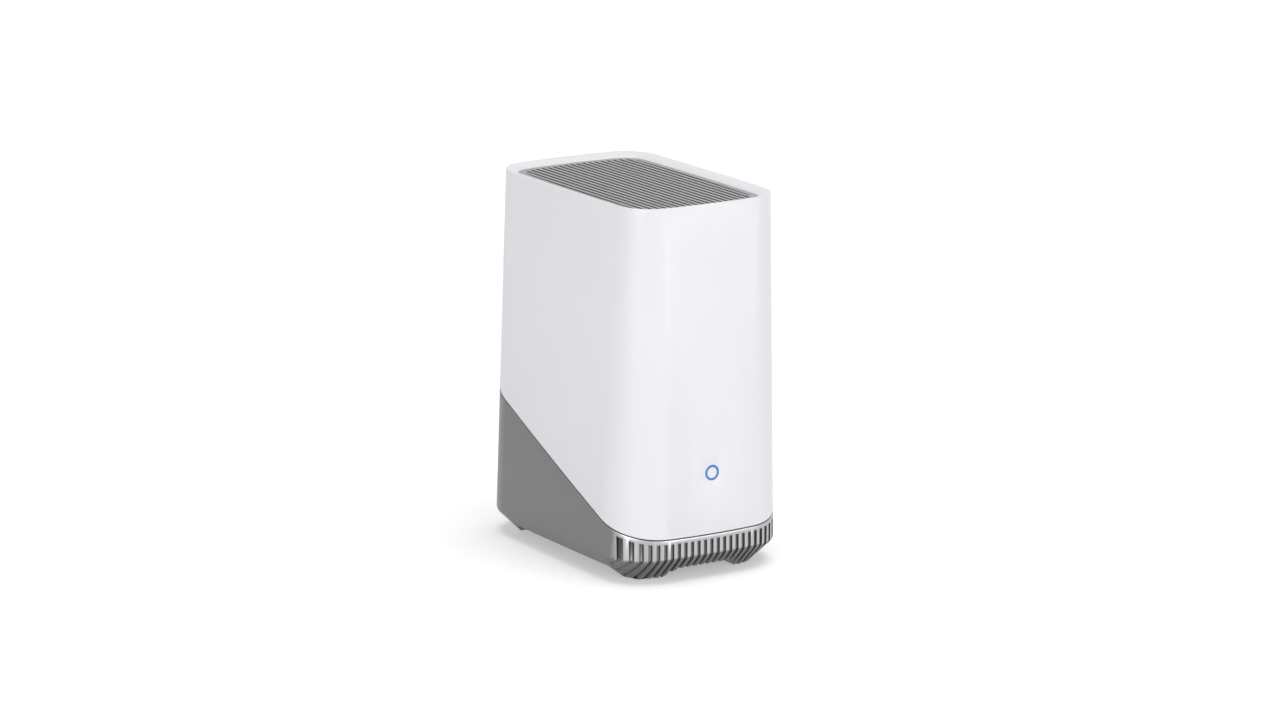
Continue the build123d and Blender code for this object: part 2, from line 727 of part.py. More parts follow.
def base_housing():
    base = base_form() - base_hollow()
    base += tongue()
    base += panel_frame()
    base -= panel_window()
    base -= arch(FRONT_ARCH_HALF, FRONT_ARCH_FLARE, BEND_HALF_DEPTH + OVERRUN, False)
    base -= arch(SIDE_ARCH_HALF, SIDE_ARCH_FLARE, BEND_HALF_WIDTH + OVERRUN, True)
    base -= flutes()
    for sign_x, sign_y in CORNER_SIGNS:
        x = sign_x * FOOT_X
        y = sign_y * FOOT_Y
        base -= rod(PAD_RADIUS + FIXED_FIT, -OVERRUN, PAD_THICKNESS, x, y)
        base -= rod(SCREW_HEAD_RADIUS + FIXED_FIT, -OVERRUN, SHELL_SCREW_SEAT, x, y)
        base -= rod(HOLE_RADIUS, -OVERRUN, FLOOR_TOP + OVERRUN, x, y)
    for cutter in floor_cuts():
        base -= cutter
    return base


def floor_cuts():
    """The bay opening with its door seat, the vents and the pilot holes in the floor."""
    low = FLOOR_UNDERSIDE - OVERRUN
    high = FLOOR_TOP + OVERRUN
    cuts = [
        block(-CAGE_INNER_HALF, CAGE_INNER_HALF, CAGE_INNER_FRONT, CAGE_INNER_REAR, low, high),
        door_outline(low, DOOR_SEAT, SLIDE_FIT),
        rod(PILOT_RADIUS, low, high, 0, DOOR_SCREW_Y),
    ]
    for x, y in cage_feet() + chassis_feet():
        cuts.append(rod(PILOT_RADIUS, low, high, x, y))
    for index in range(FLOOR_VENT_COUNT):
        x = (index - (FLOOR_VENT_COUNT - 1) / 2) * FLOOR_VENT_PITCH
        rear = FLOOR_VENT_FRONT + FLOOR_VENT_LENGTH
        half = FLOOR_VENT_WIDTH / 2
        cuts.append(block(x - half, x + half, FLOOR_VENT_FRONT, rear, low, high))
    return cuts


def foot_pad(sign_x, sign_y):
    pad = rod(PAD_RADIUS, 0, PAD_THICKNESS, sign_x * FOOT_X, sign_y * FOOT_Y)
    return chamfer(pad.edges().sort_by(Axis.Z)[0], PAD_CHAMFER)


def shell_screws():
    screws = []
    for sign_x, sign_y in CORNER_SIGNS:
        x = sign_x * FOOT_X
        y = sign_y * FOOT_Y
        head = min(SCREW_HEAD, SHELL_SCREW_SEAT - PAD_THICKNESS)
        screws.append(
            rod(SCREW_RADIUS, SHELL_SCREW_SEAT, SHELL_SCREW_SEAT + SHELL_SCREW_LENGTH, x, y)
            + rod(SCREW_HEAD_RADIUS, SHELL_SCREW_SEAT - head, SHELL_SCREW_SEAT, x, y)
            - rod(DRIVER_RADIUS, SHELL_SCREW_SEAT - head, SHELL_SCREW_SEAT - head + DRIVER_DEPTH, x, y)
        )
    return group(screws)


# Port panel, ports and sync button
def port_panel():
    panel = plate_y(
        PANEL_WIDTH - 2 * FIXED_FIT,
        PANEL_HEIGHT - 2 * FIXED_FIT,
        PANEL_CORNER - FIXED_FIT,
        PANEL_BACK,
        PANEL_FACE,
        0,
        PANEL_MIDDLE,
    )
    low = PANEL_BACK - OVERRUN
    high = PANEL_FACE + OVERRUN
    gap = 2 * PORT_GAP
    panel -= block_at(ETHERNET_X, PORT_ROW, ETHERNET_WIDTH + gap, ETHERNET_HEIGHT + gap, low, high)
    panel -= block_at(USB_X, PORT_ROW, USB_WIDTH + gap, USB_HEIGHT + gap, low, high)
    panel -= block_at(POWER_X, PORT_ROW, POWER_BODY + gap, POWER_BODY + gap, low, high)
    panel -= rod_y(BUTTON_RADIUS + SLIDE_FIT, low, high, BUTTON_X, BUTTON_HEIGHT)
    for side in (-1, 1):
        panel -= rod_y(HOLE_RADIUS, low, high, side * PANEL_SCREW_X, BUTTON_HEIGHT)
    return panel


def block_at(x, z, width, height, front, back):
    """A box that lies from front to back round a point of the panel."""
    return block(x - width / 2, x + width / 2, front, back, z - height / 2, z + height / 2)


def ethernet_jack():
    jack = block_at(ETHERNET_X, PORT_ROW, ETHERNET_WIDTH, ETHERNET_HEIGHT, BOARD_REAR, PORT_FACE)
    socket_z = PORT_ROW + SOCKET_RISE
    inner = PORT_FACE - SOCKET_DEPTH
    outer = PORT_FACE + OVERRUN
    jack -= block_at(ETHERNET_X, socket_z, SOCKET_WIDTH, SOCKET_HEIGHT, inner, outer)
    clip_z = socket_z - SOCKET_HEIGHT / 2 - CLIP_HEIGHT / 2
    return jack - block_at(ETHERNET_X, clip_z, CLIP_WIDTH, CLIP_HEIGHT + SHAFT_FIT, inner, outer)


def usb_port():
    port = block_at(USB_X, PORT_ROW, USB_WIDTH, USB_HEIGHT, BOARD_REAR, PORT_FACE)
    inner = PORT_FACE - USB_DEPTH
    outer = PORT_FACE + OVERRUN
    width = USB_WIDTH - 2 * USB_WALL
    height = USB_HEIGHT - 2 * USB_WALL
    socket = block_at(USB_X, PORT_ROW, width, height, inner, outer)
    tongue_z = PORT_ROW + height / 2 - USB_TONGUE
    tongue_width = width - 2 * USB_TONGUE_SIDE
    rest = block_at(USB_X, tongue_z, tongue_width, USB_TONGUE, inner, PORT_FACE - USB_WALL)
    return port - socket + rest


def power_inlet():
    """The barrel inlet with its centre pin."""
    inlet = block_at(POWER_X, PORT_ROW, POWER_BODY, POWER_BODY, BOARD_REAR, PORT_FACE)
    inner = PORT_FACE - POWER_DEPTH
    inlet -= rod_y(POWER_BORE_RADIUS, inner, PORT_FACE + OVERRUN, POWER_X, PORT_ROW)
    pin_root = inner - OVERRUN
    return inlet - rod_y(POWER_PIN_RADIUS, pin_root, inner + OVERRUN, POWER_X, PORT_ROW)


def power_pin():
    inner = PORT_FACE - POWER_DEPTH
    return rod_y(POWER_PIN_RADIUS, inner - OVERRUN, PORT_FACE - OVERRUN, POWER_X, PORT_ROW)


def sync_button():
    """The cap with a flange behind the panel and a stem to the switch."""
    cap_face = PANEL_FACE + BUTTON_PROUD
    flange_rear = PANEL_BACK - SLIDE_FIT
    flange_front = flange_rear - BUTTON_FLANGE
    cap = rod_y(BUTTON_RADIUS, flange_rear, cap_face, BUTTON_X, BUTTON_HEIGHT)
    flange = rod_y(BUTTON_FLANGE_RADIUS, flange_front, flange_rear, BUTTON_X, BUTTON_HEIGHT)
    stem = rod_y(BUTTON_STEM_RADIUS, PLUNGER_TIP, flange_front, BUTTON_X, BUTTON_HEIGHT)
    return cap + flange + stem


def tact_switch():
    body_rear = BOARD_REAR + SWITCH_BODY
    switch = block_at(BUTTON_X, BUTTON_HEIGHT, SWITCH_SIZE, SWITCH_SIZE, BOARD_REAR, body_rear)
    depth = BOARD_REAR + SWITCH_BODY / 4
    return switch - rod_y(PLUNGER_RADIUS + SHAFT_FIT, depth, body_rear + OVERRUN, BUTTON_X, BUTTON_HEIGHT)


def switch_plunger():
    foot = BOARD_REAR + SWITCH_BODY / 4 + BUTTON_TRAVEL + SLIDE_FIT
    return rod_y(PLUNGER_RADIUS, foot, PLUNGER_TIP, BUTTON_X, BUTTON_HEIGHT)


PLUNGER_TIP = BOARD_REAR + SWITCH_BODY + PLUNGER_PROUD


def panel_screws():
    length = PANEL_THICKNESS + PANEL_LEDGE_DEPTH
    screws = []
    for side in (-1, 1):
        screws.append(screw_y(length, side * PANEL_SCREW_X, BUTTON_HEIGHT, PANEL_FACE, True))
    return group(screws)


# Main board
def board_holes():
    x = BOARD_HALF_WIDTH - BOARD_SCREW_INSET
    low = BOARD_BOTTOM + BOARD_SCREW_INSET
    high = BOARD_TOP - BOARD_SCREW_INSET
    return [(-x, low), (x, low), (-x, high), (x, high)]


def main_board():
    board = plate_y(
        2 * BOARD_HALF_WIDTH,
        BOARD_TOP - BOARD_BOTTOM,
        BOARD_CORNER,
        BOARD_FRONT,
        BOARD_REAR,
        0,
        (BOARD_TOP + BOARD_BOTTOM) / 2,
    )
    for x, z in board_holes():
        board -= rod_y(HOLE_RADIUS, BOARD_FRONT - OVERRUN, BOARD_REAR + OVERRUN, x, z)
    return board


def board_screws():
    length = BOARD_THICKNESS + STANDOFF_RADIUS
    return group([screw_y(length, x, z, BOARD_REAR, True) for x, z in board_holes()])


def processor():
    front = BOARD_FRONT - PROCESSOR_THICKNESS
    return block_at(PROCESSOR_X, PROCESSOR_Z, PROCESSOR_SIZE, PROCESSOR_SIZE, front, BOARD_FRONT)


def memory_chips():
    front = BOARD_FRONT - MEMORY_DEPTH
    chips = []
    for side in (-1, 1):
        x = PROCESSOR_X + side * MEMORY_STEP / 2
        chips.append(block_at(x, MEMORY_Z, MEMORY_WIDTH, MEMORY_HEIGHT, front, BOARD_FRONT))
    return group(chips)


def heat_sink():
    """A base plate on the processor and upright fins."""
    rear = BOARD_FRONT - PROCESSOR_THICKNESS
    base_front = rear - SINK_BASE
    sink = block_at(PROCESSOR_X, PROCESSOR_Z, SINK_SIZE, SINK_SIZE, base_front, rear)
    step = (SINK_SIZE - SINK_FIN) / (SINK_FINS - 1)
    for index in range(SINK_FINS):
        x = PROCESSOR_X + (index - (SINK_FINS - 1) / 2) * step
        sink += block_at(x, PROCESSOR_Z, SINK_FIN, SINK_SIZE, rear - SINK_HEIGHT, base_front)
    return sink


def radio_shield(index):
    front = BOARD_FRONT - CAN_DEPTH
    z = CAN_Z - index * CAN_STEP
    can = plate_y(CAN_WIDTH, CAN_HEIGHT, BOARD_CORNER / 2, front, BOARD_FRONT, CAN_X, z)
    return can


# Chassis
def chassis_feet():
    y = CHASSIS_PLATE_FRONT - CHASSIS_FOOT_DEPTH / 2
    return [(side * CHASSIS_FOOT_X, y) for side in (-1, 1)]


def chassis():
    """The upright plate, its feet and standoffs, and the shelf for fan and speaker."""
    plate_rear = CHASSIS_PLATE_FRONT + CHASSIS_THICKNESS
    frame = block(
        -CHASSIS_HALF_WIDTH, CHASSIS_HALF_WIDTH, CHASSIS_PLATE_FRONT, plate_rear, FLOOR_TOP, SHELF_TOP
    )
    frame -= block(
        PROCESSOR_X - PLATE_WINDOW_HALF,
        PROCESSOR_X + PLATE_WINDOW_HALF,
        CHASSIS_PLATE_FRONT - OVERRUN,
        plate_rear + OVERRUN,
        PLATE_WINDOW_BOTTOM,
        PLATE_WINDOW_TOP,
    )
    shelf = plate_z(
        2 * SHELF_HALF_WIDTH,
        SHELF_REAR - SHELF_FRONT,
        SHELF_CORNER,
        SHELF_HEIGHT,
        SHELF_TOP,
        0,
        (SHELF_REAR + SHELF_FRONT) / 2,
    )
    shelf -= rod(FAN_DUCT_RADIUS, SHELF_HEIGHT - OVERRUN, SHELF_TOP + OVERRUN, 0, FAN_Y)
    duct_bridge = block(
        -FAN_DUCT_RADIUS, FAN_DUCT_RADIUS, CHASSIS_PLATE_FRONT, plate_rear, SHELF_HEIGHT - OVERRUN, SHELF_TOP
    )
    frame -= duct_bridge
    frame += shelf
    for sign_x, sign_y in CORNER_SIGNS:
        x = sign_x * FAN_SCREW_PLACE
        y = FAN_Y + sign_y * FAN_SCREW_PLACE
        frame -= rod(PILOT_RADIUS, SHELF_HEIGHT - OVERRUN, SHELF_TOP + OVERRUN, x, y)
    for x, y in chassis_feet():
        half = CHASSIS_FOOT_WIDTH / 2
        front = CHASSIS_PLATE_FRONT - CHASSIS_FOOT_DEPTH
        top = FLOOR_TOP + CHASSIS_THICKNESS
        frame += block(x - half, x + half, front, CHASSIS_PLATE_FRONT, FLOOR_TOP, top)
        frame -= rod(HOLE_RADIUS, FLOOR_TOP - OVERRUN, top + OVERRUN, x, y)
    for x, z in board_holes():
        frame += rod_y(STANDOFF_RADIUS, plate_rear, BOARD_FRONT, x, z)
        frame -= rod_y(PILOT_RADIUS, BOARD_FRONT - 2 * STANDOFF_RADIUS, BOARD_FRONT + OVERRUN, x, z)
    return frame


def chassis_screws():
    seat = FLOOR_TOP + CHASSIS_THICKNESS
    return group([screw_z(CHASSIS_SCREW_LENGTH, x, y, seat, True) for x, y in chassis_feet()])


# Drive bay
SLED_HALF = DRIVE_WIDTH / 2 + SLED_SIDE_GAP + SLED_WALL
CAGE_INNER_HALF = SLED_HALF + SLIDE_FIT
SLED_DEPTH = DRIVE_THICKNESS + SLED_WALL + SLED_FRONT_GAP
SLED_FRONT = BAY_Y - SLED_DEPTH / 2
SLED_REAR = BAY_Y + SLED_DEPTH / 2
CAGE_INNER_FRONT = SLED_FRONT - SLIDE_FIT
CAGE_INNER_REAR = SLED_REAR + SLIDE_FIT
DOOR_BOTTOM = FLOOR_UNDERSIDE + FIXED_FIT
DOOR_TOP = DOOR_BOTTOM + DOOR_THICKNESS
DOOR_SEAT = DOOR_TOP + SLIDE_FIT
DOOR_FRONT_Y = CAGE_INNER_FRONT - DOOR_FRONT
DOOR_REAR_Y = CAGE_INNER_REAR + DOOR_REAR
DOOR_SCREW_Y = DOOR_FRONT_Y + DOOR_SCREW_BACK
DRIVE_BOTTOM = FLOOR_TOP + SLED_WALL
DRIVE_TOP = DRIVE_BOTTOM + DRIVE_LENGTH
CONNECTOR_BOTTOM = DRIVE_TOP + SLIDE_FIT
CAGE_TOP = CONNECTOR_BOTTOM + CONNECTOR_HEIGHT
DRIVE_REAR = SLED_REAR - SLED_WALL


def door_outline(bottom, top, margin):
    half = CAGE_INNER_HALF + DOOR_SIDE
    return plate_z(
        2 * (half + margin),
        DOOR_REAR_Y - DOOR_FRONT_Y + 2 * margin,
        DOOR_CORNER + margin,
        bottom,
        top,
        0,
        (DOOR_REAR_Y + DOOR_FRONT_Y) / 2,
    )


def bay_door():
    """The cover in the underside, with a finger recess and the hole of its screw."""
    door = door_outline(DOOR_BOTTOM, DOOR_TOP, 0)
    finger_rear = DOOR_REAR_Y + OVERRUN
    finger = block(
        -DOOR_FINGER_WIDTH / 2,
        DOOR_FINGER_WIDTH / 2,
        DOOR_REAR_Y - DOOR_FINGER_LENGTH,
        finger_rear,
        DOOR_BOTTOM - OVERRUN,
        DOOR_BOTTOM + DOOR_FINGER_DEPTH,
    )
    return door - finger - rod(HOLE_RADIUS, DOOR_BOTTOM - OVERRUN, DOOR_TOP + OVERRUN, 0, DOOR_SCREW_Y)


def bay_screw():
    return screw_z(DOOR_THICKNESS + FLOOR_THICKNESS, 0, DOOR_SCREW_Y, DOOR_BOTTOM, False)


def drive_screw_places():
    return [(side, DRIVE_BOTTOM + rise) for side in (-1, 1) for rise in (DRIVE_SCREW_LOW, DRIVE_SCREW_HIGH)]


def drive_sled():
    """A tray with a back, two side rails and a foot that stands on the door."""
    top = DRIVE_TOP - SLED_FRONT_GAP
    sled = block(-SLED_HALF, SLED_HALF, SLED_FRONT, SLED_REAR, DOOR_TOP, top)
    inner = SLED_HALF - SLED_WALL
    sled -= block(-inner, inner, SLED_FRONT - OVERRUN, DRIVE_REAR, DRIVE_BOTTOM, top + OVERRUN)
    window = inner - DOOR_CORNER
    sled -= block(
        -window / 2,
        window / 2,
        DRIVE_REAR - OVERRUN,
        SLED_REAR + OVERRUN,
        DRIVE_BOTTOM + DRIVE_SCREW_LOW,
        DRIVE_BOTTOM + DRIVE_SCREW_HIGH,
    )
    y = DRIVE_REAR - DRIVE_THICKNESS / 2
    for side, z in drive_screw_places():
        reach = sorted((side * (inner - OVERRUN), side * (SLED_HALF + OVERRUN)))
        sled -= rod_x(DRIVE_SCREW_RADIUS + FIXED_FIT, reach[0], reach[1], y, z)
    return sled


def hard_drive():
    """A 2.5-inch drive: a cast body with a lid that is a step narrower."""
    front = DRIVE_REAR - DRIVE_THICKNESS
    lid = DRIVE_REAR - DRIVE_THICKNESS + DRIVE_TOP_STEP
    middle = (DRIVE_BOTTOM + DRIVE_TOP) / 2
    drive = plate_y(DRIVE_WIDTH, DRIVE_LENGTH, DRIVE_CORNER, lid, DRIVE_REAR, 0, middle)
    drive += plate_y(
        DRIVE_WIDTH - 2 * DRIVE_CORNER, DRIVE_LENGTH - 2 * DRIVE_CORNER, DRIVE_CORNER, front, lid, 0, middle
    )
    y = DRIVE_REAR - DRIVE_THICKNESS / 2
    half = DRIVE_WIDTH / 2
    for side, z in drive_screw_places():
        reach = sorted((side * (half - SLED_FRONT_GAP), side * (half + OVERRUN)))
        drive -= rod_x(DRIVE_SCREW_RADIUS + SHAFT_FIT, reach[0], reach[1], y, z)
    return drive


def drive_screws():
    """Four screws through the rails into the drive, with heads sunk in the rails."""
    y = DRIVE_REAR - DRIVE_THICKNESS / 2
    half = DRIVE_WIDTH / 2
    screws = []
    for side, z in drive_screw_places():
        reach = sorted((side * (half - SLED_FRONT_GAP + SLIDE_FIT), side * SLED_HALF))
        screws.append(rod_x(DRIVE_SCREW_RADIUS, reach[0], reach[1], y, z))
    return group(screws)


def cage_feet():
    x = CAGE_INNER_HALF + CAGE_WALL + CAGE_FOOT / 2
    return [(-x, BAY_Y), (x, BAY_Y)]


def drive_cage():
    """The guide that the sled runs in, standing on the floor."""
    outer = CAGE_INNER_HALF + CAGE_WALL
    front = CAGE_INNER_FRONT - CAGE_WALL
    rear = CAGE_INNER_REAR + CAGE_WALL
    cage = block(-outer, outer, front, rear, FLOOR_TOP, CAGE_TOP)
    foot = outer + CAGE_FOOT
    foot_top = FLOOR_TOP + CAGE_WALL
    cage += block(-foot, foot, front, rear, FLOOR_TOP, foot_top)
    cage -= block(
        -CAGE_INNER_HALF,
        CAGE_INNER_HALF,
        CAGE_INNER_FRONT,
        CAGE_INNER_REAR,
        FLOOR_TOP - OVERRUN,
        CAGE_TOP + OVERRUN,
    )
    for x, y in cage_feet():
        cage -= rod(HOLE_RADIUS, FLOOR_TOP - OVERRUN, foot_top + OVERRUN, x, y)
    return cage


def cage_screws():
    seat = FLOOR_TOP + CAGE_WALL
    return group([screw_z(CHASSIS_SCREW_LENGTH - CAGE_WALL / 2, x, y, seat, True) for x, y in cage_feet()])


def bay_board():
    """The connector board that lies on top of the cage."""
    outer = CAGE_INNER_HALF + CAGE_WALL
    return block(
        -outer,
        outer,
        CAGE_INNER_FRONT - CAGE_WALL,
        CAGE_INNER_REAR + CAGE_WALL,
        CAGE_TOP,
        CAGE_TOP + BOARD_THICKNESS,
    )


def bay_connector():
    y = DRIVE_REAR - DRIVE_THICKNESS / 2
    half = CONNECTOR_WIDTH / 2
    deep = CONNECTOR_DEPTH / 2
    return block(-half, half, y - deep, y + deep, CONNECTOR_BOTTOM, CAGE_TOP)


# Fan
FAN_TOP = SHELF_TOP + FAN_DEPTH


def fan_frame():
    """A square frame with a round duct, struts and a hub with the bearing seat."""
    frame = plate_z(FAN_SIZE, FAN_SIZE, FAN_CORNER, SHELF_TOP, FAN_TOP, 0, FAN_Y)
    frame -= rod(FAN_DUCT_RADIUS, SHELF_TOP - OVERRUN, FAN_TOP + OVERRUN, 0, FAN_Y)
    base_top = SHELF_TOP + FAN_BASE
    frame += rod(FAN_HUB_RADIUS, SHELF_TOP, base_top, 0, FAN_Y)
    for index in range(FAN_STRUTS):
        strut = block(0, FAN_DUCT_RADIUS + OVERRUN, -FAN_STRUT / 2, FAN_STRUT / 2, SHELF_TOP, base_top)
        frame += Pos(0, FAN_Y, 0) * Rot(0, 0, 360 * (index + 0.5) / FAN_STRUTS) * strut
    seat_radius = BEARING_RADIUS + FIXED_FIT
    seat_top = SHELF_TOP + BEARING_HEIGHT
    frame += rod(seat_radius + BEARING_WALL, SHELF_TOP, seat_top, 0, FAN_Y)
    frame -= rod(seat_radius, base_top, seat_top + OVERRUN, 0, FAN_Y)
    for sign_x, sign_y in CORNER_SIGNS:
        x = sign_x * FAN_SCREW_PLACE
        y = FAN_Y + sign_y * FAN_SCREW_PLACE
        frame -= rod(HOLE_RADIUS, SHELF_TOP - OVERRUN, FAN_TOP + OVERRUN, x, y)
    return frame


def fan_bearing():
    base_top = SHELF_TOP + FAN_BASE
    sleeve = rod(BEARING_RADIUS, base_top, SHELF_TOP + BEARING_HEIGHT, 0, FAN_Y)
    return sleeve - rod(SHAFT_RADIUS + SHAFT_FIT, base_top + FIXED_FIT, FAN_TOP, 0, FAN_Y)


def fan_rotor():
    """A hub cup with its shaft and seven raked blades."""
    bottom = SHELF_TOP + FAN_BASE + ROTOR_GAP
    top = FAN_TOP - ROTOR_GAP
    cup = rod(FAN_HUB_RADIUS, bottom, top, 0, 0)
    cup -= rod(FAN_HUB_RADIUS - FAN_HUB_WALL, bottom - OVERRUN, top - FAN_HUB_WALL, 0, 0)
    shaft_bottom = SHELF_TOP + FAN_BASE + 2 * FIXED_FIT
    rotor = cup + rod(SHAFT_RADIUS, shaft_bottom, top, 0, 0)
    tip = FAN_DUCT_RADIUS - FAN_TIP_GAP
    root = FAN_HUB_RADIUS - FAN_HUB_WALL / 2
    ring = rod(tip, bottom, top, 0, 0) - rod(root, bottom - OVERRUN, top + OVERRUN, 0, 0)
    middle = (bottom + top) / 2
    chord = FAN_BLADE_CHORD / 2
    thin = FAN_BLADE_THICKNESS / 2
    blade = Rot(FAN_BLADE_PITCH, 0, 0) * block(0, tip + OVERRUN, -chord, chord, -thin, thin)
    for index in range(FAN_BLADES):
        turned = Rot(0, 0, 360 * index / FAN_BLADES) * (Pos(0, 0, middle) * blade)
        rotor += turned & ring
    return Pos(0, FAN_Y, 0) * rotor


def fan_screws():
    length = FAN_DEPTH + FAN_SCREW_TIP
    screws = []
    for sign_x, sign_y in CORNER_SIGNS:
        x = sign_x * FAN_SCREW_PLACE
        y = FAN_Y + sign_y * FAN_SCREW_PLACE
        screws.append(screw_z(length, x, y, FAN_TOP, True))
    return group(screws)


# Speaker
SPEAKER_TOP = SHELF_TOP + SPEAKER_HEIGHT
BASKET_TOP = SPEAKER_TOP + BASKET_FLANGE
BASKET_BOTTOM = BASKET_TOP - BASKET_DEPTH


def speaker_cup():
    """The round chamber that the speaker stands in."""
    cup = rod(SPEAKER_RADIUS, SHELF_TOP, SPEAKER_TOP, 0, SPEAKER_Y)
    inner = SPEAKER_RADIUS - SPEAKER_CUP_WALL
    return cup - rod(inner, SHELF_TOP + SPEAKER_CUP_FOOT, SPEAKER_TOP + OVERRUN, 0, SPEAKER_Y)


def funnel(top_radius, bottom_radius, bottom, top):
    return Pos(0, SPEAKER_Y, (bottom + top) / 2) * Cone(bottom_radius, top_radius, top - bottom)


def speaker_basket():
    inner = SPEAKER_RADIUS - SPEAKER_CUP_WALL - FIXED_FIT
    mouth = inner - BASKET_WALL
    basket = rod(SPEAKER_RADIUS, SPEAKER_TOP, BASKET_TOP, 0, SPEAKER_Y)
    basket += funnel(inner, BASKET_NECK_RADIUS, BASKET_BOTTOM, SPEAKER_TOP)
    neck = BASKET_NECK_RADIUS - BASKET_WALL
    hollow = funnel(mouth, neck, BASKET_BOTTOM + BASKET_WALL, BASKET_TOP)
    return basket - hollow


def speaker_magnet():
    return rod(MAGNET_RADIUS, SHELF_TOP + SPEAKER_CUP_FOOT, BASKET_BOTTOM, 0, SPEAKER_Y)


def speaker_cone():
    """A dished cone with a dust dome, held at its edge by the gasket."""
    rim = SPEAKER_RADIUS - SPEAKER_CUP_WALL - FIXED_FIT - BASKET_WALL - CONE_GAP
    top = BASKET_TOP
    low = top - CONE_DISH
    cone = funnel(rim, DOME_RADIUS, low, top)
    cone -= funnel(rim, DOME_RADIUS, low + CONE_THICKNESS, top + CONE_THICKNESS)
    dome = rod(DOME_RADIUS, low, low + CONE_THICKNESS, 0, SPEAKER_Y)
    lip = rod(rim + GASKET_WIDTH / 2, top, top + CONE_THICKNESS, 0, SPEAKER_Y)
    lip -= rod(rim - CONE_THICKNESS - CONE_GAP, top - OVERRUN, top + OVERRUN, 0, SPEAKER_Y)
    return cone + dome + lip


def speaker_gasket():
    rim = SPEAKER_RADIUS - SPEAKER_CUP_WALL - FIXED_FIT - BASKET_WALL - CONE_GAP
    bottom = BASKET_TOP + CONE_THICKNESS
    ring = rod(SPEAKER_RADIUS, BASKET_TOP, bottom + GASKET_HEIGHT, 0, SPEAKER_Y)
    ring -= rod(rim + GASKET_WIDTH / 2 + SHAFT_FIT, BASKET_TOP - OVERRUN, bottom, 0, SPEAKER_Y)
    return ring - rod(rim, bottom - OVERRUN, bottom + GASKET_HEIGHT + OVERRUN, 0, SPEAKER_Y)


# Antennas
def wifi_antenna(side):
    """A thin strip on the edge of the chassis plate."""
    inner = side * CHASSIS_HALF_WIDTH
    outer = side * (CHASSIS_HALF_WIDTH + WIFI_THICKNESS)
    middle = CHASSIS_PLATE_FRONT + CHASSIS_THICKNESS / 2
    return block(
        min(inner, outer),
        max(inner, outer),
        middle - WIFI_WIDTH / 2,
        middle + WIFI_WIDTH / 2,
        WIFI_BOTTOM,
        WIFI_BOTTOM + WIFI_HEIGHT,
    )


def radio_antenna():
    """The long-range antenna board, hung under the front of the shelf."""
    front = SHELF_FRONT + RADIO_INSET
    top = SHELF_HEIGHT
    half = RADIO_WIDTH / 2
    return block(-half, half, front, front + BOARD_THICKNESS, top - RADIO_HEIGHT, top)


# Pieces
def main():
    save(outer_shell(), "outer_shell")
    save(grille(), "top_grille")
    save(grille_mesh(), "grille_mesh")
    save(base_housing(), "base_housing")
    for sign_x, sign_y in CORNER_SIGNS:
        place = ("front_" if sign_y < 0 else "rear_") + ("left" if sign_x < 0 else "right")
        save(foot_pad(sign_x, sign_y), "foot_pad_" + place)
    save(shell_screws(), "shell_screws")
    save(status_ring(), "status_ring")
    save(ring_cap(), "ring_cap")
    save(led_board(), "led_board")
    save(status_leds(), "status_leds")
    save(led_screws(), "led_board_screws")
    save(port_panel(), "port_panel")
    save(panel_screws(), "port_panel_screws")
    save(ethernet_jack(), "ethernet_jack")
    save(usb_port(), "usb_port")
    save(power_inlet(), "power_inlet")
    save(power_pin(), "power_inlet_pin")
    save(sync_button(), "sync_button")
    save(tact_switch(), "tact_switch")
    save(switch_plunger(), "switch_plunger")
    save(main_board(), "main_board")
    save(board_screws(), "main_board_screws")
    save(processor(), "processor")
    save(memory_chips(), "memory_chips")
    save(heat_sink(), "heat_sink")
    save(radio_shield(0), "wifi_shield")
    save(radio_shield(1), "radio_shield")
    save(chassis(), "chassis")
    save(chassis_screws(), "chassis_screws")
    save(drive_cage(), "drive_cage")
    save(cage_screws(), "drive_cage_screws")
    save(drive_sled(), "drive_sled")
    save(hard_drive(), "hard_drive")
    save(drive_screws(), "drive_screws")
    save(bay_door(), "bay_door")
    save(bay_screw(), "bay_door_screw")
    save(bay_board(), "bay_board")
    save(bay_connector(), "bay_connector")
    save(fan_frame(), "fan_frame")
    save(fan_bearing(), "fan_bearing")
    save(fan_rotor(), "fan_rotor")
    save(fan_screws(), "fan_screws")
    save(speaker_cup(), "speaker_cup")
    save(speaker_basket(), "speaker_basket")
    save(speaker_magnet(), "speaker_magnet")
    save(speaker_cone(), "speaker_cone")
    save(speaker_gasket(), "speaker_gasket")
    save(wifi_antenna(-1), "wifi_antenna_left")
    save(wifi_antenna(1), "wifi_antenna_right")
    save(radio_antenna(), "radio_antenna")


main()
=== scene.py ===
"""The looks of an upright camera base station: its finishes, its small fittings and its stage."""

import json
import math

import bmesh
import bpy
from bpy.props import FloatProperty, FloatVectorProperty, IntProperty, PointerProperty
from bpy.types import Operator, Panel, PropertyGroup
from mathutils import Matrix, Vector
from mathutils.geometry import convex_hull_2d


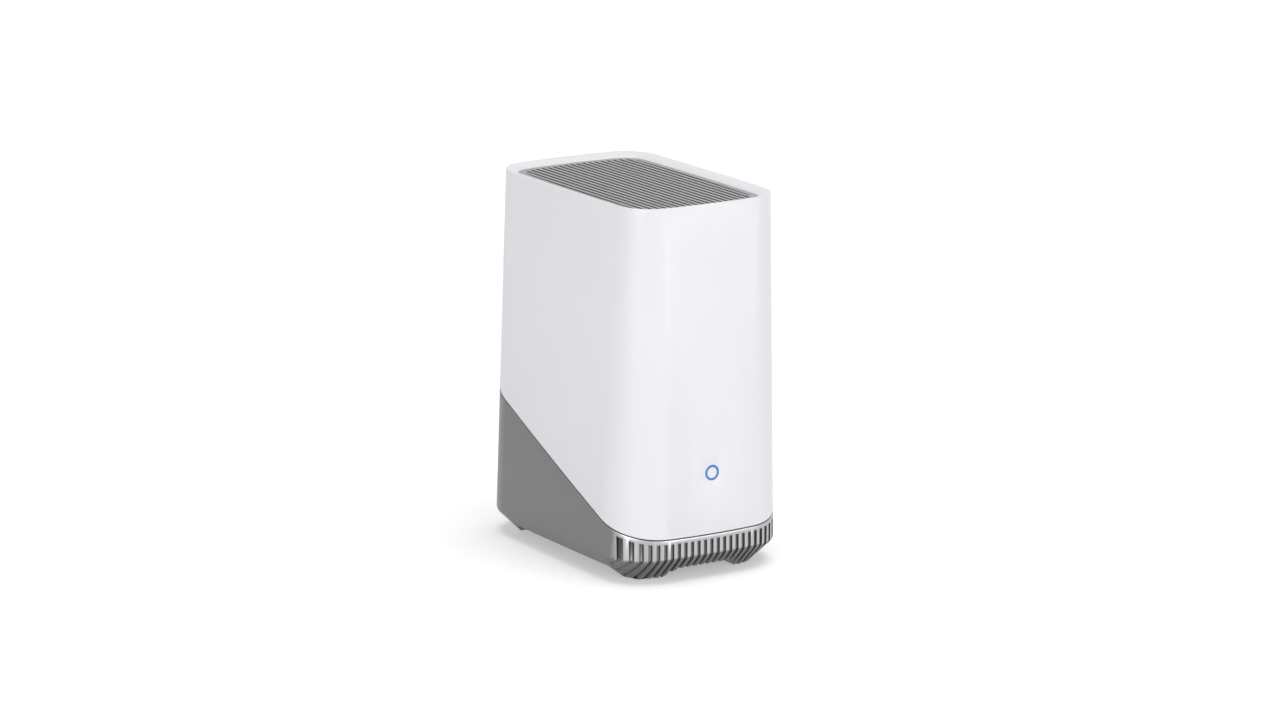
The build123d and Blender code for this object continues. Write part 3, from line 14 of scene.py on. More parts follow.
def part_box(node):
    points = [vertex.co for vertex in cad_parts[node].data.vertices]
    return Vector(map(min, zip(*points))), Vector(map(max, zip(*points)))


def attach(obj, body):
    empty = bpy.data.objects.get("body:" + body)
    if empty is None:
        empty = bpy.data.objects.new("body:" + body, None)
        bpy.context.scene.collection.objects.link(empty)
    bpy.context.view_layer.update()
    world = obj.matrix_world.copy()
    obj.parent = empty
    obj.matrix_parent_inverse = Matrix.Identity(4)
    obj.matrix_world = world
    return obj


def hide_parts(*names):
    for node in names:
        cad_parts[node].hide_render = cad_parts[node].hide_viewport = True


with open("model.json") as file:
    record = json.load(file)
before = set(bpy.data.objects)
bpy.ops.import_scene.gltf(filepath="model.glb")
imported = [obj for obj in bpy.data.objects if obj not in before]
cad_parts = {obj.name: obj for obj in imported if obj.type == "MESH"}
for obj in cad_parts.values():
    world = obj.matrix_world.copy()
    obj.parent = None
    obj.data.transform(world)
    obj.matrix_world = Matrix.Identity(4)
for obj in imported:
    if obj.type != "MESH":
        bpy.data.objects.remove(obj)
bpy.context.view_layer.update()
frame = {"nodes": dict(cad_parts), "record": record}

bl_info = {
    "name": "Camera Base Station",
    "version": (1, 0, 0),
    "blender": (4, 5, 0),
    "location": "3D View > Sidebar > Base Station",
    "description": "Dresses an upright camera base station and sets its stage",
    "category": "Object",
}

# How a copy of a solid is cleaned: metres and radians
MERGE_DISTANCE = 0.000002
FLAT_ANGLE = math.radians(0.4)
SHARP_ANGLE = math.radians(32.0)
ANY_SHAPE = math.pi

# Directions, how nearly a picked face has to point along one, and the turn that lays a drum down
DOWN = (0, 0, -1)
FORWARD = (0, -1, 0)
BACKWARD = (0, 1, 0)
FACE_LEVEL = 0.95
CAP_LEVEL = 0.999
UPRIGHT = (0.0, 0.0, 0.0)
LYING = (math.pi / 2, 0.0, 0.0)

# The cube that a bar is scaled from, the faces round a drum and the rounded edge of small parts
CUBE_SIDE = 1.0
ROUND_STEPS = 64
CHIP_EDGE = 0.00008
CHIP_EDGE_STEPS = 2

# Patterns of the finishes, on Object coordinates in metres
SHELL_GRAIN = {"Scale": 5200.0, "Detail": 2.0, "Roughness": 0.55}
SHELL_CLOUD = {"Scale": 14.0, "Detail": 2.0, "Roughness": 0.5}
PAINT_FLAKE = {"Scale": 4200.0, "Randomness": 1.0}
PAINT_CLOUD = {"Scale": 22.0, "Detail": 3.0, "Roughness": 0.5}
SLAT_GRAIN = {"Scale": 3600.0, "Detail": 2.0, "Roughness": 0.6}
THREAD = {"Scale": 520.0, "Distortion": 0.3, "Detail": 1.0}
RUBBER_GRAIN = {"Scale": 2400.0, "Detail": 4.0, "Roughness": 0.7}
BRUSH = {"Scale": 900.0, "Detail": 5.0, "Roughness": 0.65}
BRUSH_STRETCH = (1.0, 0.03, 1.0)
TRACE = {"Scale": 330.0, "Randomness": 0.75}
VIA = {"Scale": 260.0, "Randomness": 1.0}
PLASTIC_GRAIN = {"Scale": 3000.0, "Detail": 3.0, "Roughness": 0.6}
FERRITE_GRAIN = {"Scale": 1500.0, "Detail": 6.0, "Roughness": 0.7}
PAPER_FIBRE = {"Scale": 1100.0, "Detail": 6.0, "Roughness": 0.75}
RING_CLOUD = {"Scale": 260.0, "Detail": 1.0, "Roughness": 0.5}
FLOOR_GRAIN = {"Scale": 35.0, "Detail": 2.0, "Roughness": 0.5}

# The part of a pattern's range in which a tone runs from one end to the other
MIDDLE = (0.3, 0.7)
WHOLE = (0.0, 1.0)
FLAKE_REACH = (0.0, 0.8)
CLOTH_REACH = (0.4, 0.95)
RING_REACH = (0.35, 0.65)
TRACE_REACH = (0.06, 0.09)
VIA_REACH = 0.11

# Shares of a colour between which a pattern spreads it
SHELL_SHARES = (0.985, 1.012)
FLAKE_SHARES = (1.07, 0.93)
SLAT_SHARES = (0.94, 1.05)
PLASTIC_SHARES = (0.88, 1.12)
METAL_SHARES = (0.86, 1.08)
RING_SHARES = (0.92, 1.1)
RING_BODY_SHARE = 0.4
FLOOR_SHARES = (0.99, 1.0)

# What a pattern adds to the roughness at its two ends
PAINT_SWING = (-0.03, 0.04)
PLASTIC_SWING = (-0.06, 0.06)
METAL_SWING = (-0.08, 0.1)

# Reliefs: depth in metres and strength
SHELL_RELIEF = (0.000006, 0.35)
FLAKE_RELIEF = (0.000004, 0.4)
SLAT_RELIEF = (0.000006, 0.5)
CLOTH_RELIEF = (0.00012, 1.0)
RUBBER_RELIEF = (0.00002, 0.7)
RING_RELIEF = (0.000004, 0.3)
LAMP_RELIEF = (0.00001, 0.3)
PLASTIC_RELIEF = (0.00001, 0.6)
METAL_RELIEF = (0.000006, 0.5)
BOARD_RELIEF = (0.00003, 0.4)
FERRITE_RELIEF = (0.00003, 0.7)
PAPER_RELIEF = (0.00008, 0.8)

# Name, colour and roughness of the finishes that have no setting
CLOTH = ("dust_mesh_cloth", (0.012, 0.012, 0.013, 1.0), 0.9)
RUBBER = ("foot_rubber", (0.022, 0.022, 0.024, 1.0), 0.78)
LAMP = ("lamp_window", (0.72, 0.70, 0.52, 1.0), 0.25)
BOARD = ("solder_mask", (0.012, 0.11, 0.05, 1.0), 0.35)
FERRITE = ("ferrite", (0.05, 0.05, 0.055, 1.0), 0.6)
PAPER = ("cone_paper", (0.06, 0.055, 0.05, 1.0), 0.85)
BLACK = ("black_moulding", (0.022, 0.022, 0.024, 1.0), 0.5)
BUTTON = ("button_plastic", (0.30, 0.30, 0.31, 1.0), 0.4)
CHASSIS = ("chassis_moulding", (0.10, 0.10, 0.11, 1.0), 0.6)
FAN = ("fan_moulding", (0.04, 0.04, 0.044, 1.0), 0.3)
STEEL = ("bright_steel", (0.58, 0.58, 0.60, 1.0), 0.3)
BRASS = ("contact_brass_plate", (0.80, 0.58, 0.26, 1.0), 0.25)
SINK = ("sink_metal", (0.66, 0.66, 0.68, 1.0), 0.38)
CAST = ("cast_aluminium", (0.60, 0.60, 0.62, 1.0), 0.42)
LID = ("pressed_lid", (0.62, 0.62, 0.64, 1.0), 0.35)
CAN = ("can_aluminium", (0.70, 0.70, 0.72, 1.0), 0.3)
FLOOR_COLOUR = (0.86, 0.86, 0.87, 1.0)
FLOOR = ("pale_floor", FLOOR_COLOUR, 0.9)
TIN_COLOUR = (0.62, 0.60, 0.55, 1.0)
WHITE = (1.0, 1.0, 1.0, 1.0)

# The two colours between which a pattern spreads such a finish
CLOTH_ENDS = ((0.003, 0.003, 0.003, 1.0), (0.022, 0.022, 0.024, 1.0))
RUBBER_ENDS = ((0.015, 0.015, 0.016, 1.0), (0.033, 0.033, 0.035, 1.0))
LAMP_ENDS = ((0.62, 0.60, 0.40, 1.0), (0.78, 0.76, 0.60, 1.0))
BOARD_ENDS = ((0.04, 0.26, 0.11, 1.0), (0.010, 0.095, 0.042, 1.0))
FERRITE_ENDS = ((0.035, 0.035, 0.038, 1.0), (0.075, 0.075, 0.08, 1.0))
PAPER_ENDS = ((0.04, 0.037, 0.033, 1.0), (0.10, 0.093, 0.083, 1.0))

# Gloss, coat, metal and clearness of single finishes
SHELL_SPECULAR = 0.45
COAT_WEIGHT = 0.12
COAT_ROUGHNESS = 0.22
SLAT_ROUGHNESS = 0.4
SLAT_METALLIC = 0.35
RING_ROUGHNESS = 0.35
LAMP_TRANSMISSION = 0.2
PANEL_ROUGHNESS = 0.5
BARE_METALLIC = 1.0

# A face whose normal rises less than this belongs to a slot's wall, which is painted black as shade
WALL_LEVEL = 0.6

# Painted highlight on the front of the base: upright faces less deep than the flutes, fading at its sides
FRONT_RISE = 0.35
FRONT_SLOPE = 0.3
FLUTE_SHALLOW = 0.0010
FRONT_FADE_START = 0.0515
FRONT_FADE_END = 0.0465

# Network jack fittings
JACK_WIRES = 8
JACK_WIRE_PITCH = 0.00102
JACK_WIRE_WIDTH = 0.00042
JACK_WIRE_THICKNESS = 0.00025
JACK_WIRE_SETBACK = 0.0022
JACK_WIRE_TAIL = 0.0016
JACK_WIRE_STEPS = 2
JACK_STEP_RUN = 0.0036
JACK_STEP_DROP = 0.0015
JACK_ROOF = 0.0022
JACK_LAMP_WIDTH = 0.0026
JACK_LAMP_HEIGHT = 0.0014
JACK_LAMP_RISE = 0.0013
JACK_LAMP_INSET = 0.0017
JACK_LAMP_DEPTH = 0.0008
JACK_LAMP_PROUD = 0.00006

# USB port fittings
USB_STRIPS = 4
USB_STRIP_PITCH = 0.0023
USB_STRIP_WIDTH = 0.0011
USB_STRIP_LENGTH = 0.0066
USB_STRIP_THICKNESS = 0.00012
USB_STRIP_EDGE_SHARE = 0.25
USB_STRIP_SETBACK = 0.0011
USB_TONGUE_UNDERSIDE = 0.00115
USB_LEAF_PLACE = 0.0031
USB_LEAF_WIDTH = 0.0019
USB_LEAF_LENGTH = 0.0042
USB_LEAF_THICKNESS = 0.0002
USB_LEAF_SETBACK = 0.0009
USB_LEAF_BEND = 0.00045
USB_SHEET = 0.0004

# Power inlet sleeve
SLEEVE_RADIUS = 0.0031
SLEEVE_WALL = 0.00028
SLEEVE_LENGTH = 0.0078
SLEEVE_SETBACK = 0.0006

# Foot pads, door ribs and drive details
PAD_EDGE_STEPS = 2
PAD_GROOVE_INSET = 0.0011
PAD_GROOVE_WIDTH = 0.0006
PAD_GROOVE_DEPTH = 0.0003
DOOR_RIBS = 4
DOOR_RIB_PITCH = 0.0009
DOOR_RIB_WIDTH = 0.00035
DOOR_RIB_LENGTH = 0.0125
DOOR_RIB_HEIGHT = 0.0005
DOOR_RIB_INSET = 0.0007
DOOR_RECESS = 0.0009
LID_RING_RADIUS = 0.0285
LID_RING_STEP = 0.0022
LID_RING_HEIGHT = 0.0003
LID_HOLLOW_SHARE = 0.75
LID_RING_RISE = 0.0135
LID_SCREW_RADIUS = 0.0016
LID_SCREW_HEIGHT = 0.0005
LID_SCREW_INSET = 0.0042
LID_SCREW_STEPS = 24
LID_SINK = 0.0002
LID_HUB_RADIUS = 0.0062
DRIVE_BOARD_HALF = 0.0148
DRIVE_BOARD_INSET = 0.0165
DRIVE_BOARD_HEIGHT = 0.0570
DRIVE_BOARD_THICKNESS = 0.0008
DRIVE_CHIP_SIZES = ((0.0110, 0.0110), (0.0080, 0.0060), (0.0060, 0.0050))
DRIVE_CHIP_PLACES = ((-0.0040, 0.0120), (0.0070, 0.0300), (-0.0070, 0.0420))
DRIVE_CHIP_HEIGHT = 0.0005

# Can capacitors on the main board
CAPACITOR_RADII = (0.0040, 0.0040, 0.0032, 0.0032)
CAPACITOR_HEIGHTS = (0.0085, 0.0085, 0.0060, 0.0060)
CAPACITOR_X = (-0.0345, -0.0345, 0.0330, 0.0330)
CAPACITOR_RISE = (0.0210, 0.0310, 0.0160, 0.0250)
CAPACITOR_EDGE = 0.0004
CAPACITOR_EDGE_STEPS = 3
CAPACITOR_CROWN = 0.0006
CAPACITOR_STEPS = 32

# Stage: places and sizes in metres
FLOOR_SIZE = 14.0
GLOW_START = 0.7
GLOW_END = 2.6
FULL_LIGHT = 1.0
KEY_PLACE = (0.58, -1.33, 0.17)
KEY_SIZE = (1.00, 0.30)
CORNER_PLACE = (-1.47, -0.80, 0.26)
CORNER_SIZE = (0.80, 0.46)
TOP_PLACE = (0.2, -0.1, 2.2)
TOP_SIZE = (1.80, 1.80)
LAMP_TARGET = (0.0, 0.0, 0.10)
SENSOR_WIDTH = 36.0


def length_setting(name, description, default):
    return FloatProperty(name=name, description=description, default=default, unit="LENGTH")


def share_setting(name, description, default):
    return FloatProperty(name=name, description=description, default=default, subtype="FACTOR")


def colour_setting(name, description, default):
    return FloatVectorProperty(name=name, description=description, default=default, subtype="COLOR", size=4)


def place_setting(name, description, default):
    return FloatVectorProperty(name=name, description=description, default=default, unit="LENGTH")


class StationSizes(PropertyGroup):
    """Edge sizes of the dressed pieces."""

    shell_edge: length_setting("Shell edge", "Radius on the edges of the white shell", default=0.0005)
    base_edge: length_setting("Base edge", "Radius on the edges of the grey base", default=0.00025)
    slat_edge: length_setting("Slat edge", "Radius on the edges of the slatted top", default=0.00012)
    small_edge: length_setting("Small edge", "Radius on the panel, the button and the door", default=0.00022)
    edge_steps: IntProperty(
        name="Edge steps", description="Faces across a rounded edge", default=2, min=1, max=4
    )


class StationFinishes(PropertyGroup):
    """Colours and gloss of the finishes."""

    shell: colour_setting("Shell", "White of the shell", default=(0.80, 0.80, 0.83, 1.0))
    shell_roughness: share_setting("Shell roughness", "Gloss of the shell", default=0.42)
    base: colour_setting("Base", "Grey of the base", default=(0.20, 0.20, 0.202, 1.0))
    base_roughness: share_setting("Base roughness", "Gloss of the base", default=0.46)
    base_metallic: share_setting("Base metal", "How metallic the base paint is", default=0.9)
    # The front colour is a painted highlight: a lighter copy of the base's grey for the faces that catch the
    # light
    front: colour_setting("Front", "Grey of the painted highlight on the front", default=(0.42, 0.42, 0.423, 1.0))
    front_roughness: share_setting("Front roughness", "Gloss of the painted highlight on the front", default=0.38)
    slats: colour_setting("Slats", "Grey of the slatted top", default=(0.31, 0.31, 0.313, 1.0))
    ring: colour_setting("Ring", "Colour of the lit ring", default=(0.035, 0.20, 0.56, 1.0))
    ring_glow: FloatProperty(name="Ring glow", description="Strength of the ring's light", default=0.55)
    panel: colour_setting("Panel", "Grey of the port panel", default=(0.075, 0.075, 0.08, 1.0))


class StationStage(PropertyGroup):
    """Camera, lamps and floor."""

    camera_place: place_setting("Camera", "Where the camera stands", default=(-1.3057, -2.1077, 0.6965))
    camera_target: place_setting("Target", "What the camera looks at", default=(-0.2432, -0.3981, 0.2134))
    focal_length: FloatProperty(
        name="Focal length", description="Millimetres on a 36 mm sensor", default=134.77
    )
    key_power: FloatProperty(
        name="Key power", description="Watts of the lamp at the front right", default=5.9
    )
    corner_power: FloatProperty(
        name="Corner power", description="Watts of the lamp at the front left", default=9.6
    )
    top_power: FloatProperty(name="Top power", description="Watts of the lamp overhead", default=31.0)
    room_light: FloatProperty(
        name="Room light", description="Light of the room on matt faces", default=0.33
    )
    floor_glow: FloatProperty(
        name="Floor glow", description="What is added to the floor's white", default=0.34
    )


# Selection and primitives
def leave_mesh():
    bpy.ops.object.mode_set(mode="OBJECT")


def clear_selection():
    if bpy.context.mode != "OBJECT":
        leave_mesh()
    bpy.ops.object.select_all(action="DESELECT")


def select_only(piece):
    clear_selection()
    piece.select_set(True)
    bpy.context.view_layer.objects.active = piece


def pick_all(piece):
    """Enters edit mode with the whole piece selected."""
    select_only(piece)
    bpy.ops.object.mode_set(mode="EDIT")
    bpy.ops.mesh.select_all(action="SELECT")


def pick_faces(piece, direction, level=FACE_LEVEL):
    """Enters edit mode with only the faces that point along a direction selected."""
    select_only(piece)
    bpy.ops.object.mode_set(mode="EDIT")
    bpy.ops.mesh.select_mode(type="FACE")
    bpy.ops.mesh.select_all(action="DESELECT")
    mesh = bmesh.from_edit_mesh(piece.data)
    way = Vector(direction)
    for face in mesh.faces:
        face.select = face.normal.dot(way) > level
    bmesh.update_edit_mesh(piece.data)


def extrude(shift):
    """Extrudes the selected faces."""
    bpy.ops.mesh.extrude_region_move(TRANSFORM_OT_translate={"value": shift})


def rename(piece, name):
    piece.name = name
    piece.data.name = name
    return piece


def settle(name):
    """Puts the active piece's place and size into its mesh and names it."""
    bpy.ops.object.transform_apply(location=True, rotation=True, scale=True)
    return rename(bpy.context.active_object, name)


def bar(name, low, high):
    """A box between two corners, left in object mode and selected."""
    clear_selection()
    centre = (Vector(low) + Vector(high)) / 2
    bpy.ops.mesh.primitive_cube_add(size=CUBE_SIDE, location=centre)
    bpy.context.active_object.scale = Vector(high) - Vector(low)
    return settle(name)


def drum(name, radius, depth, centre, turn=UPRIGHT, steps=ROUND_STEPS):
    """A cylinder, left in object mode and selected."""
    clear_selection()
    bpy.ops.mesh.primitive_cylinder_add(
        vertices=steps, radius=radius, depth=depth, location=centre, rotation=turn
    )
    return settle(name)


def row(count, pitch):
    """The places of equal pieces on both sides of the middle of their row."""
    return [(index - (count - 1) / 2) * pitch for index in range(count)]


def bevel_all(piece, offset):
    pick_all(piece)
    bpy.ops.mesh.bevel(offset=offset, segments=CHIP_EDGE_STEPS, affect="EDGES")
    leave_mesh()


def copy_piece(piece, name, shift):
    """A moved copy with its own mesh."""
    select_only(piece)
    bpy.ops.object.duplicate()
    bpy.context.active_object.location = shift
    return settle(name)


def join_pieces(name, pieces):
    clear_selection()
    for piece in pieces:
        piece.select_set(True)
    bpy.context.view_layer.objects.active = pieces[0]
    bpy.ops.object.join()
    return rename(bpy.context.active_object, name)


def paint(piece, material):
    """Shades a piece smooth between its sharp edges and gives it its only finish."""
    bpy.ops.object.shade_smooth_by_angle(angle=SHARP_ANGLE)
    piece.data.materials.clear()
    piece.data.materials.append(material)


def complete(piece, body, material):
    """Gives a new piece its shading, finish, slot and body."""
    pick_all(piece)
    bpy.ops.mesh.normals_make_consistent(inside=False)
    leave_mesh()
    paint(piece, material)
    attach(piece, body)


def body_of_node(node):
    for body, members in frame["record"]["behaviour"]["bodies"].items():
        if node in members:
            return body
    raise ValueError("no body holds " + node)


def dress_copy(node, edge, material):
    """A copy of a solid with its triangles joined and its sharp edges rounded, in the solid's place."""
    mesh = frame["nodes"][node].data.copy()
    piece = bpy.data.objects.new(node + "_dressed", mesh)
    bpy.context.scene.collection.objects.link(piece)
    select_only(piece)
    if mesh.has_custom_normals:
        bpy.ops.mesh.customdata_custom_splitnormals_clear()
    pick_all(piece)
    bpy.ops.mesh.remove_doubles(threshold=MERGE_DISTANCE)
    bpy.ops.mesh.dissolve_limited(angle_limit=FLAT_ANGLE)
    bpy.ops.mesh.quads_convert_to_tris(quad_method="BEAUTY", ngon_method="BEAUTY")
    bpy.ops.mesh.tris_convert_to_quads(face_threshold=FLAT_ANGLE, shape_threshold=ANY_SHAPE)
    leave_mesh()
    modifier = piece.modifiers.new("Edges", "BEVEL")
    modifier.width = edge
    modifier.segments = bpy.context.scene.station_sizes.edge_steps
    modifier.limit_method = "ANGLE"
    modifier.angle_limit = SHARP_ANGLE
    modifier.use_clamp_overlap = True
    modifier.miter_outer = "MITER_ARC"
    bpy.ops.object.modifier_apply(modifier="Edges")
    paint(piece, material)
    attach(piece, body_of_node(node))
    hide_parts(node)
    return piece


def repaint(piece, material, faces):
    """Gives some faces of a dressed piece a second finish."""
    piece.data.materials.append(material)
    for face in faces:
        face.material_index = len(piece.data.materials) - 1


def dress_nodes(nodes, material):
    """Gives solids that stay as they are a better finish."""
    for node in nodes:
        for place in frame["nodes"][node].material_slots:
            place.material = material


# Building blocks of the finishes
MADE = {}


def made_once(maker):
    """Hands out the finish that a maker has made before, in place of a second one."""

    def give(*values):
        key = maker.__name__ + "".join(values[:1])
        if key not in MADE:
            MADE[key] = maker(*values)
        return MADE[key]

    return give


def new_finish(name, colour, roughness, metallic=0.0):
    material = bpy.data.materials.new(name)
    material.use_nodes = True
    shader = material.node_tree.nodes["Principled BSDF"]
    shader.inputs["Base Color"].default_value = colour
    shader.inputs["Roughness"].default_value = roughness
    shader.inputs["Metallic"].default_value = metallic
    return material, material.node_tree, shader


def object_place(tree):
    return tree.nodes.new("ShaderNodeTexCoord").outputs["Object"]


def pattern(tree, kind, values, stretch=None):
    """A texture on Object coordinates, stretched where asked."""
    source = object_place(tree)
    if stretch:
        mapping = tree.nodes.new("ShaderNodeMapping")
        mapping.inputs["Scale"].default_value = stretch
        tree.links.new(source, mapping.inputs["Vector"])
        source = mapping.outputs["Vector"]
    texture = tree.nodes.new(kind)
    tree.links.new(source, texture.inputs["Vector"])
    for name, value in values.items():
        texture.inputs[name].default_value = value
    return texture


def noise(tree, values, stretch=None):
    return pattern(tree, "ShaderNodeTexNoise", values, stretch).outputs["Fac"]


def calculate(tree, operation, *values):
    """The output of a maths node over sockets and plain numbers."""
    node = tree.nodes.new("ShaderNodeMath")
    node.operation = operation
    for value, socket in zip(values, node.inputs):
        if isinstance(value, float):
            socket.default_value = value
        else:
            tree.links.new(value, socket)
    return node.outputs[0]


def spread_between(tree, value, ends, start=0.0, end=1.0):
    """Maps a value that runs from start to end onto two ends."""
    spread = tree.nodes.new("ShaderNodeMapRange")
    spread.inputs["From Min"].default_value = start
    spread.inputs["From Max"].default_value = end
    spread.inputs["To Min"].default_value = ends[0]
    spread.inputs["To Max"].default_value = ends[1]
    tree.links.new(value, spread.inputs["Value"])
    return spread


def blend_into(tree, factor, target):
    """A node that mixes its colours A and B by a factor and sends the mix to a socket."""
    blend = tree.nodes.new("ShaderNodeMix")
    blend.data_type = "RGBA"
    tree.links.new(factor, blend.inputs["Factor"])
    tree.links.new(blend.outputs["Result"], target)
    return blend


def relief(tree, shader, height, depths):
    """Raises the surface by a pattern, with a depth in metres and a strength."""
    bump = tree.nodes.new("ShaderNodeBump")
    bump.inputs["Distance"].default_value, bump.inputs["Strength"].default_value = depths
    tree.links.new(height, bump.inputs["Height"])
    tree.links.new(bump.outputs["Normal"], shader.inputs["Normal"])


def tone(tree, value, target, ends, reach=MIDDLE):
    """Spreads a pattern between two colours and sends it to a socket."""
    ramp = tree.nodes.new("ShaderNodeValToRGB")
    for element, place, colour in zip(ramp.color_ramp.elements, reach, ends):
        element.position = place
        element.color = colour
    tree.links.new(value, ramp.inputs["Fac"])
    tree.links.new(ramp.outputs["Color"], target)


def gloss(tree, value, shader, roughness, swing):
    """Lets a pattern vary the roughness."""
    spread = spread_between(tree, value, (roughness + swing[0], roughness + swing[1]))
    tree.links.new(spread.outputs["Result"], shader.inputs["Roughness"])


def shade(colour, share):
    """A colour made darker or lighter."""
    return tuple(part * share for part in colour[:3]) + (1.0,)


def shades(colour, shares):
    return [shade(colour, share) for share in shares]


def grained_finish(values, ends, depths, name, colour, roughness, metallic=0.0, stretch=None):
    """A finish whose colour and relief follow one noise."""
    material, tree, shader = new_finish(name, colour, roughness, metallic)
    grain = noise(tree, values, stretch)
    tone(tree, grain, shader.inputs["Base Color"], ends)
    relief(tree, shader, grain, depths)
    return material, tree, shader, grain


# Finishes
@made_once
def shell_finish():
    """Satin moulded white with a fine spark-eroded grain."""
    looks = bpy.context.scene.station_finishes
    material, tree, shader = new_finish("white_shell_plastic", looks.shell, looks.shell_roughness)
    shader.inputs["Specular IOR Level"].default_value = SHELL_SPECULAR
    cloud = noise(tree, SHELL_CLOUD)
    tone(tree, cloud, shader.inputs["Base Color"], shades(looks.shell, SHELL_SHARES))
    gloss(tree, cloud, shader, looks.shell_roughness, PAINT_SWING)
    relief(tree, shader, noise(tree, SHELL_GRAIN), SHELL_RELIEF)
    return material


def flaked_paint(name, colour, roughness):
    """Satin metallic paint with the relief of fine flakes under a clear coat."""
    metallic = bpy.context.scene.station_finishes.base_metallic
    material, tree, shader = new_finish(name, colour, roughness, metallic)
    shader.inputs["Coat Weight"].default_value = COAT_WEIGHT
    shader.inputs["Coat Roughness"].default_value = COAT_ROUGHNESS
    flakes = pattern(tree, "ShaderNodeTexVoronoi", PAINT_FLAKE).outputs["Distance"]
    relief(tree, shader, flakes, FLAKE_RELIEF)
    return material, tree, shader, flakes


@made_once
def base_finish():
    looks = bpy.context.scene.station_finishes
    material, tree, shader, flakes = flaked_paint("base_metal_paint", looks.base, looks.base_roughness)
    tone(tree, flakes, shader.inputs["Base Color"], shades(looks.base, FLAKE_SHARES), FLAKE_REACH)
    gloss(tree, noise(tree, PAINT_CLOUD), shader, looks.base_roughness, PAINT_SWING)
    return material


@made_once
def front_highlight_finish():
    """The base's paint, lighter towards the middle of the front as a painted highlight."""
    looks = bpy.context.scene.station_finishes
    material, tree, shader, flakes = flaked_paint("painted_highlight_front", looks.front, looks.front_roughness)
    axes = tree.nodes.new("ShaderNodeSeparateXYZ")
    tree.links.new(object_place(tree), axes.inputs[0])
    aside = calculate(tree, "ABSOLUTE", axes.outputs["X"])
    fade = spread_between(tree, aside, WHOLE, FRONT_FADE_START, FRONT_FADE_END)
    fade.interpolation_type = "SMOOTHSTEP"
    blend = blend_into(tree, fade.outputs["Result"], shader.inputs["Base Color"])
    blend.inputs["A"].default_value = looks.base
    tone(tree, flakes, blend.inputs["B"], shades(looks.front, FLAKE_SHARES), FLAKE_REACH)
    return material


@made_once
def slat_finish():
    slats = bpy.context.scene.station_finishes.slats
    ends = shades(slats, SLAT_SHARES)
    look = ("slat_plastic", slats, SLAT_ROUGHNESS, SLAT_METALLIC)
    return grained_finish(SLAT_GRAIN, ends, SLAT_RELIEF, *look)[0]


@made_once
def mesh_finish():
    """Black woven cloth: two crossed sets of threads."""
    material, tree, shader = new_finish(*CLOTH)
    warp = pattern(tree, "ShaderNodeTexWave", THREAD)
    weft = pattern(tree, "ShaderNodeTexWave", THREAD)
    weft.bands_direction = "Y"
    both = calculate(tree, "MAXIMUM", warp.outputs["Fac"], weft.outputs["Fac"])
    tone(tree, both, shader.inputs["Base Color"], CLOTH_ENDS, CLOTH_REACH)
    relief(tree, shader, both, CLOTH_RELIEF)
    return material


@made_once
def ring_finish():
    """The lit light guide: blue all round, a little uneven as behind four lamps."""
    looks = bpy.context.scene.station_finishes
    body = shade(looks.ring, RING_BODY_SHARE)
    material, tree, shader = new_finish("ring_light_guide", body, RING_ROUGHNESS)
    cloud = noise(tree, RING_CLOUD)
    tone(tree, cloud, shader.inputs["Emission Color"], shades(looks.ring, RING_SHARES), RING_REACH)
    shader.inputs["Emission Strength"].default_value = looks.ring_glow
    relief(tree, shader, cloud, RING_RELIEF)
    return material


@made_once
def lamp_finish():
    material, _, shader, _ = grained_finish(RING_CLOUD, LAMP_ENDS, LAMP_RELIEF, *LAMP)
    shader.inputs["Transmission Weight"].default_value = LAMP_TRANSMISSION
    return material


@made_once
def rubber_finish():
    return grained_finish(RUBBER_GRAIN, RUBBER_ENDS, RUBBER_RELIEF, *RUBBER)[0]


@made_once
def magnet_finish():
    return grained_finish(FERRITE_GRAIN, FERRITE_ENDS, FERRITE_RELIEF, *FERRITE)[0]


@made_once
def cone_finish():
    return grained_finish(PAPER_FIBRE, PAPER_ENDS, PAPER_RELIEF, *PAPER)[0]


@made_once
def plastic_finish(name, colour, roughness):
    """Moulded plastic of an inner or rear piece, with an even grain."""
    ends = shades(colour, PLASTIC_SHARES)
    material, tree, shader, grain = grained_finish(
        PLASTIC_GRAIN, ends, PLASTIC_RELIEF, name, colour, roughness
    )
    gloss(tree, grain, shader, roughness, PLASTIC_SWING)
    return material


@made_once
def metal_finish(name, colour, roughness):
    """Drawn or turned metal with fine lines."""
    ends = shades(colour, METAL_SHARES)
    material, tree, shader, lines = grained_finish(
        BRUSH, ends, METAL_RELIEF, name, colour, roughness, BARE_METALLIC, BRUSH_STRETCH
    )
    gloss(tree, lines, shader, roughness, METAL_SWING)
    return material


@made_once
def board_finish():
    """Green solder mask over copper traces, with tinned vias."""
    material, tree, shader = new_finish(*BOARD)
    traces = pattern(tree, "ShaderNodeTexVoronoi", TRACE)
    traces.feature = "DISTANCE_TO_EDGE"
    vias = pattern(tree, "ShaderNodeTexVoronoi", VIA)
    dots = calculate(tree, "LESS_THAN", vias.outputs["Distance"], VIA_REACH)
    blend = blend_into(tree, dots, shader.inputs["Base Color"])
    blend.inputs["B"].default_value = TIN_COLOUR
    tone(tree, traces.outputs["Distance"], blend.inputs["A"], BOARD_ENDS, TRACE_REACH)
    relief(tree, shader, traces.outputs["Distance"], BOARD_RELIEF)
    return material


# Operators, one for each piece or group of like pieces
class STATION_OT_shell(Operator):
    """Dress the white shell and the disc in the ring"""

    bl_idname = "station.shell"
    bl_label = "White shell"

    def execute(self, context):
        sizes = context.scene.station_sizes
        material = shell_finish()
        dress_copy("outer_shell", sizes.shell_edge, material)
        dress_nodes(["ring_cap"], material)
        return {"FINISHED"}


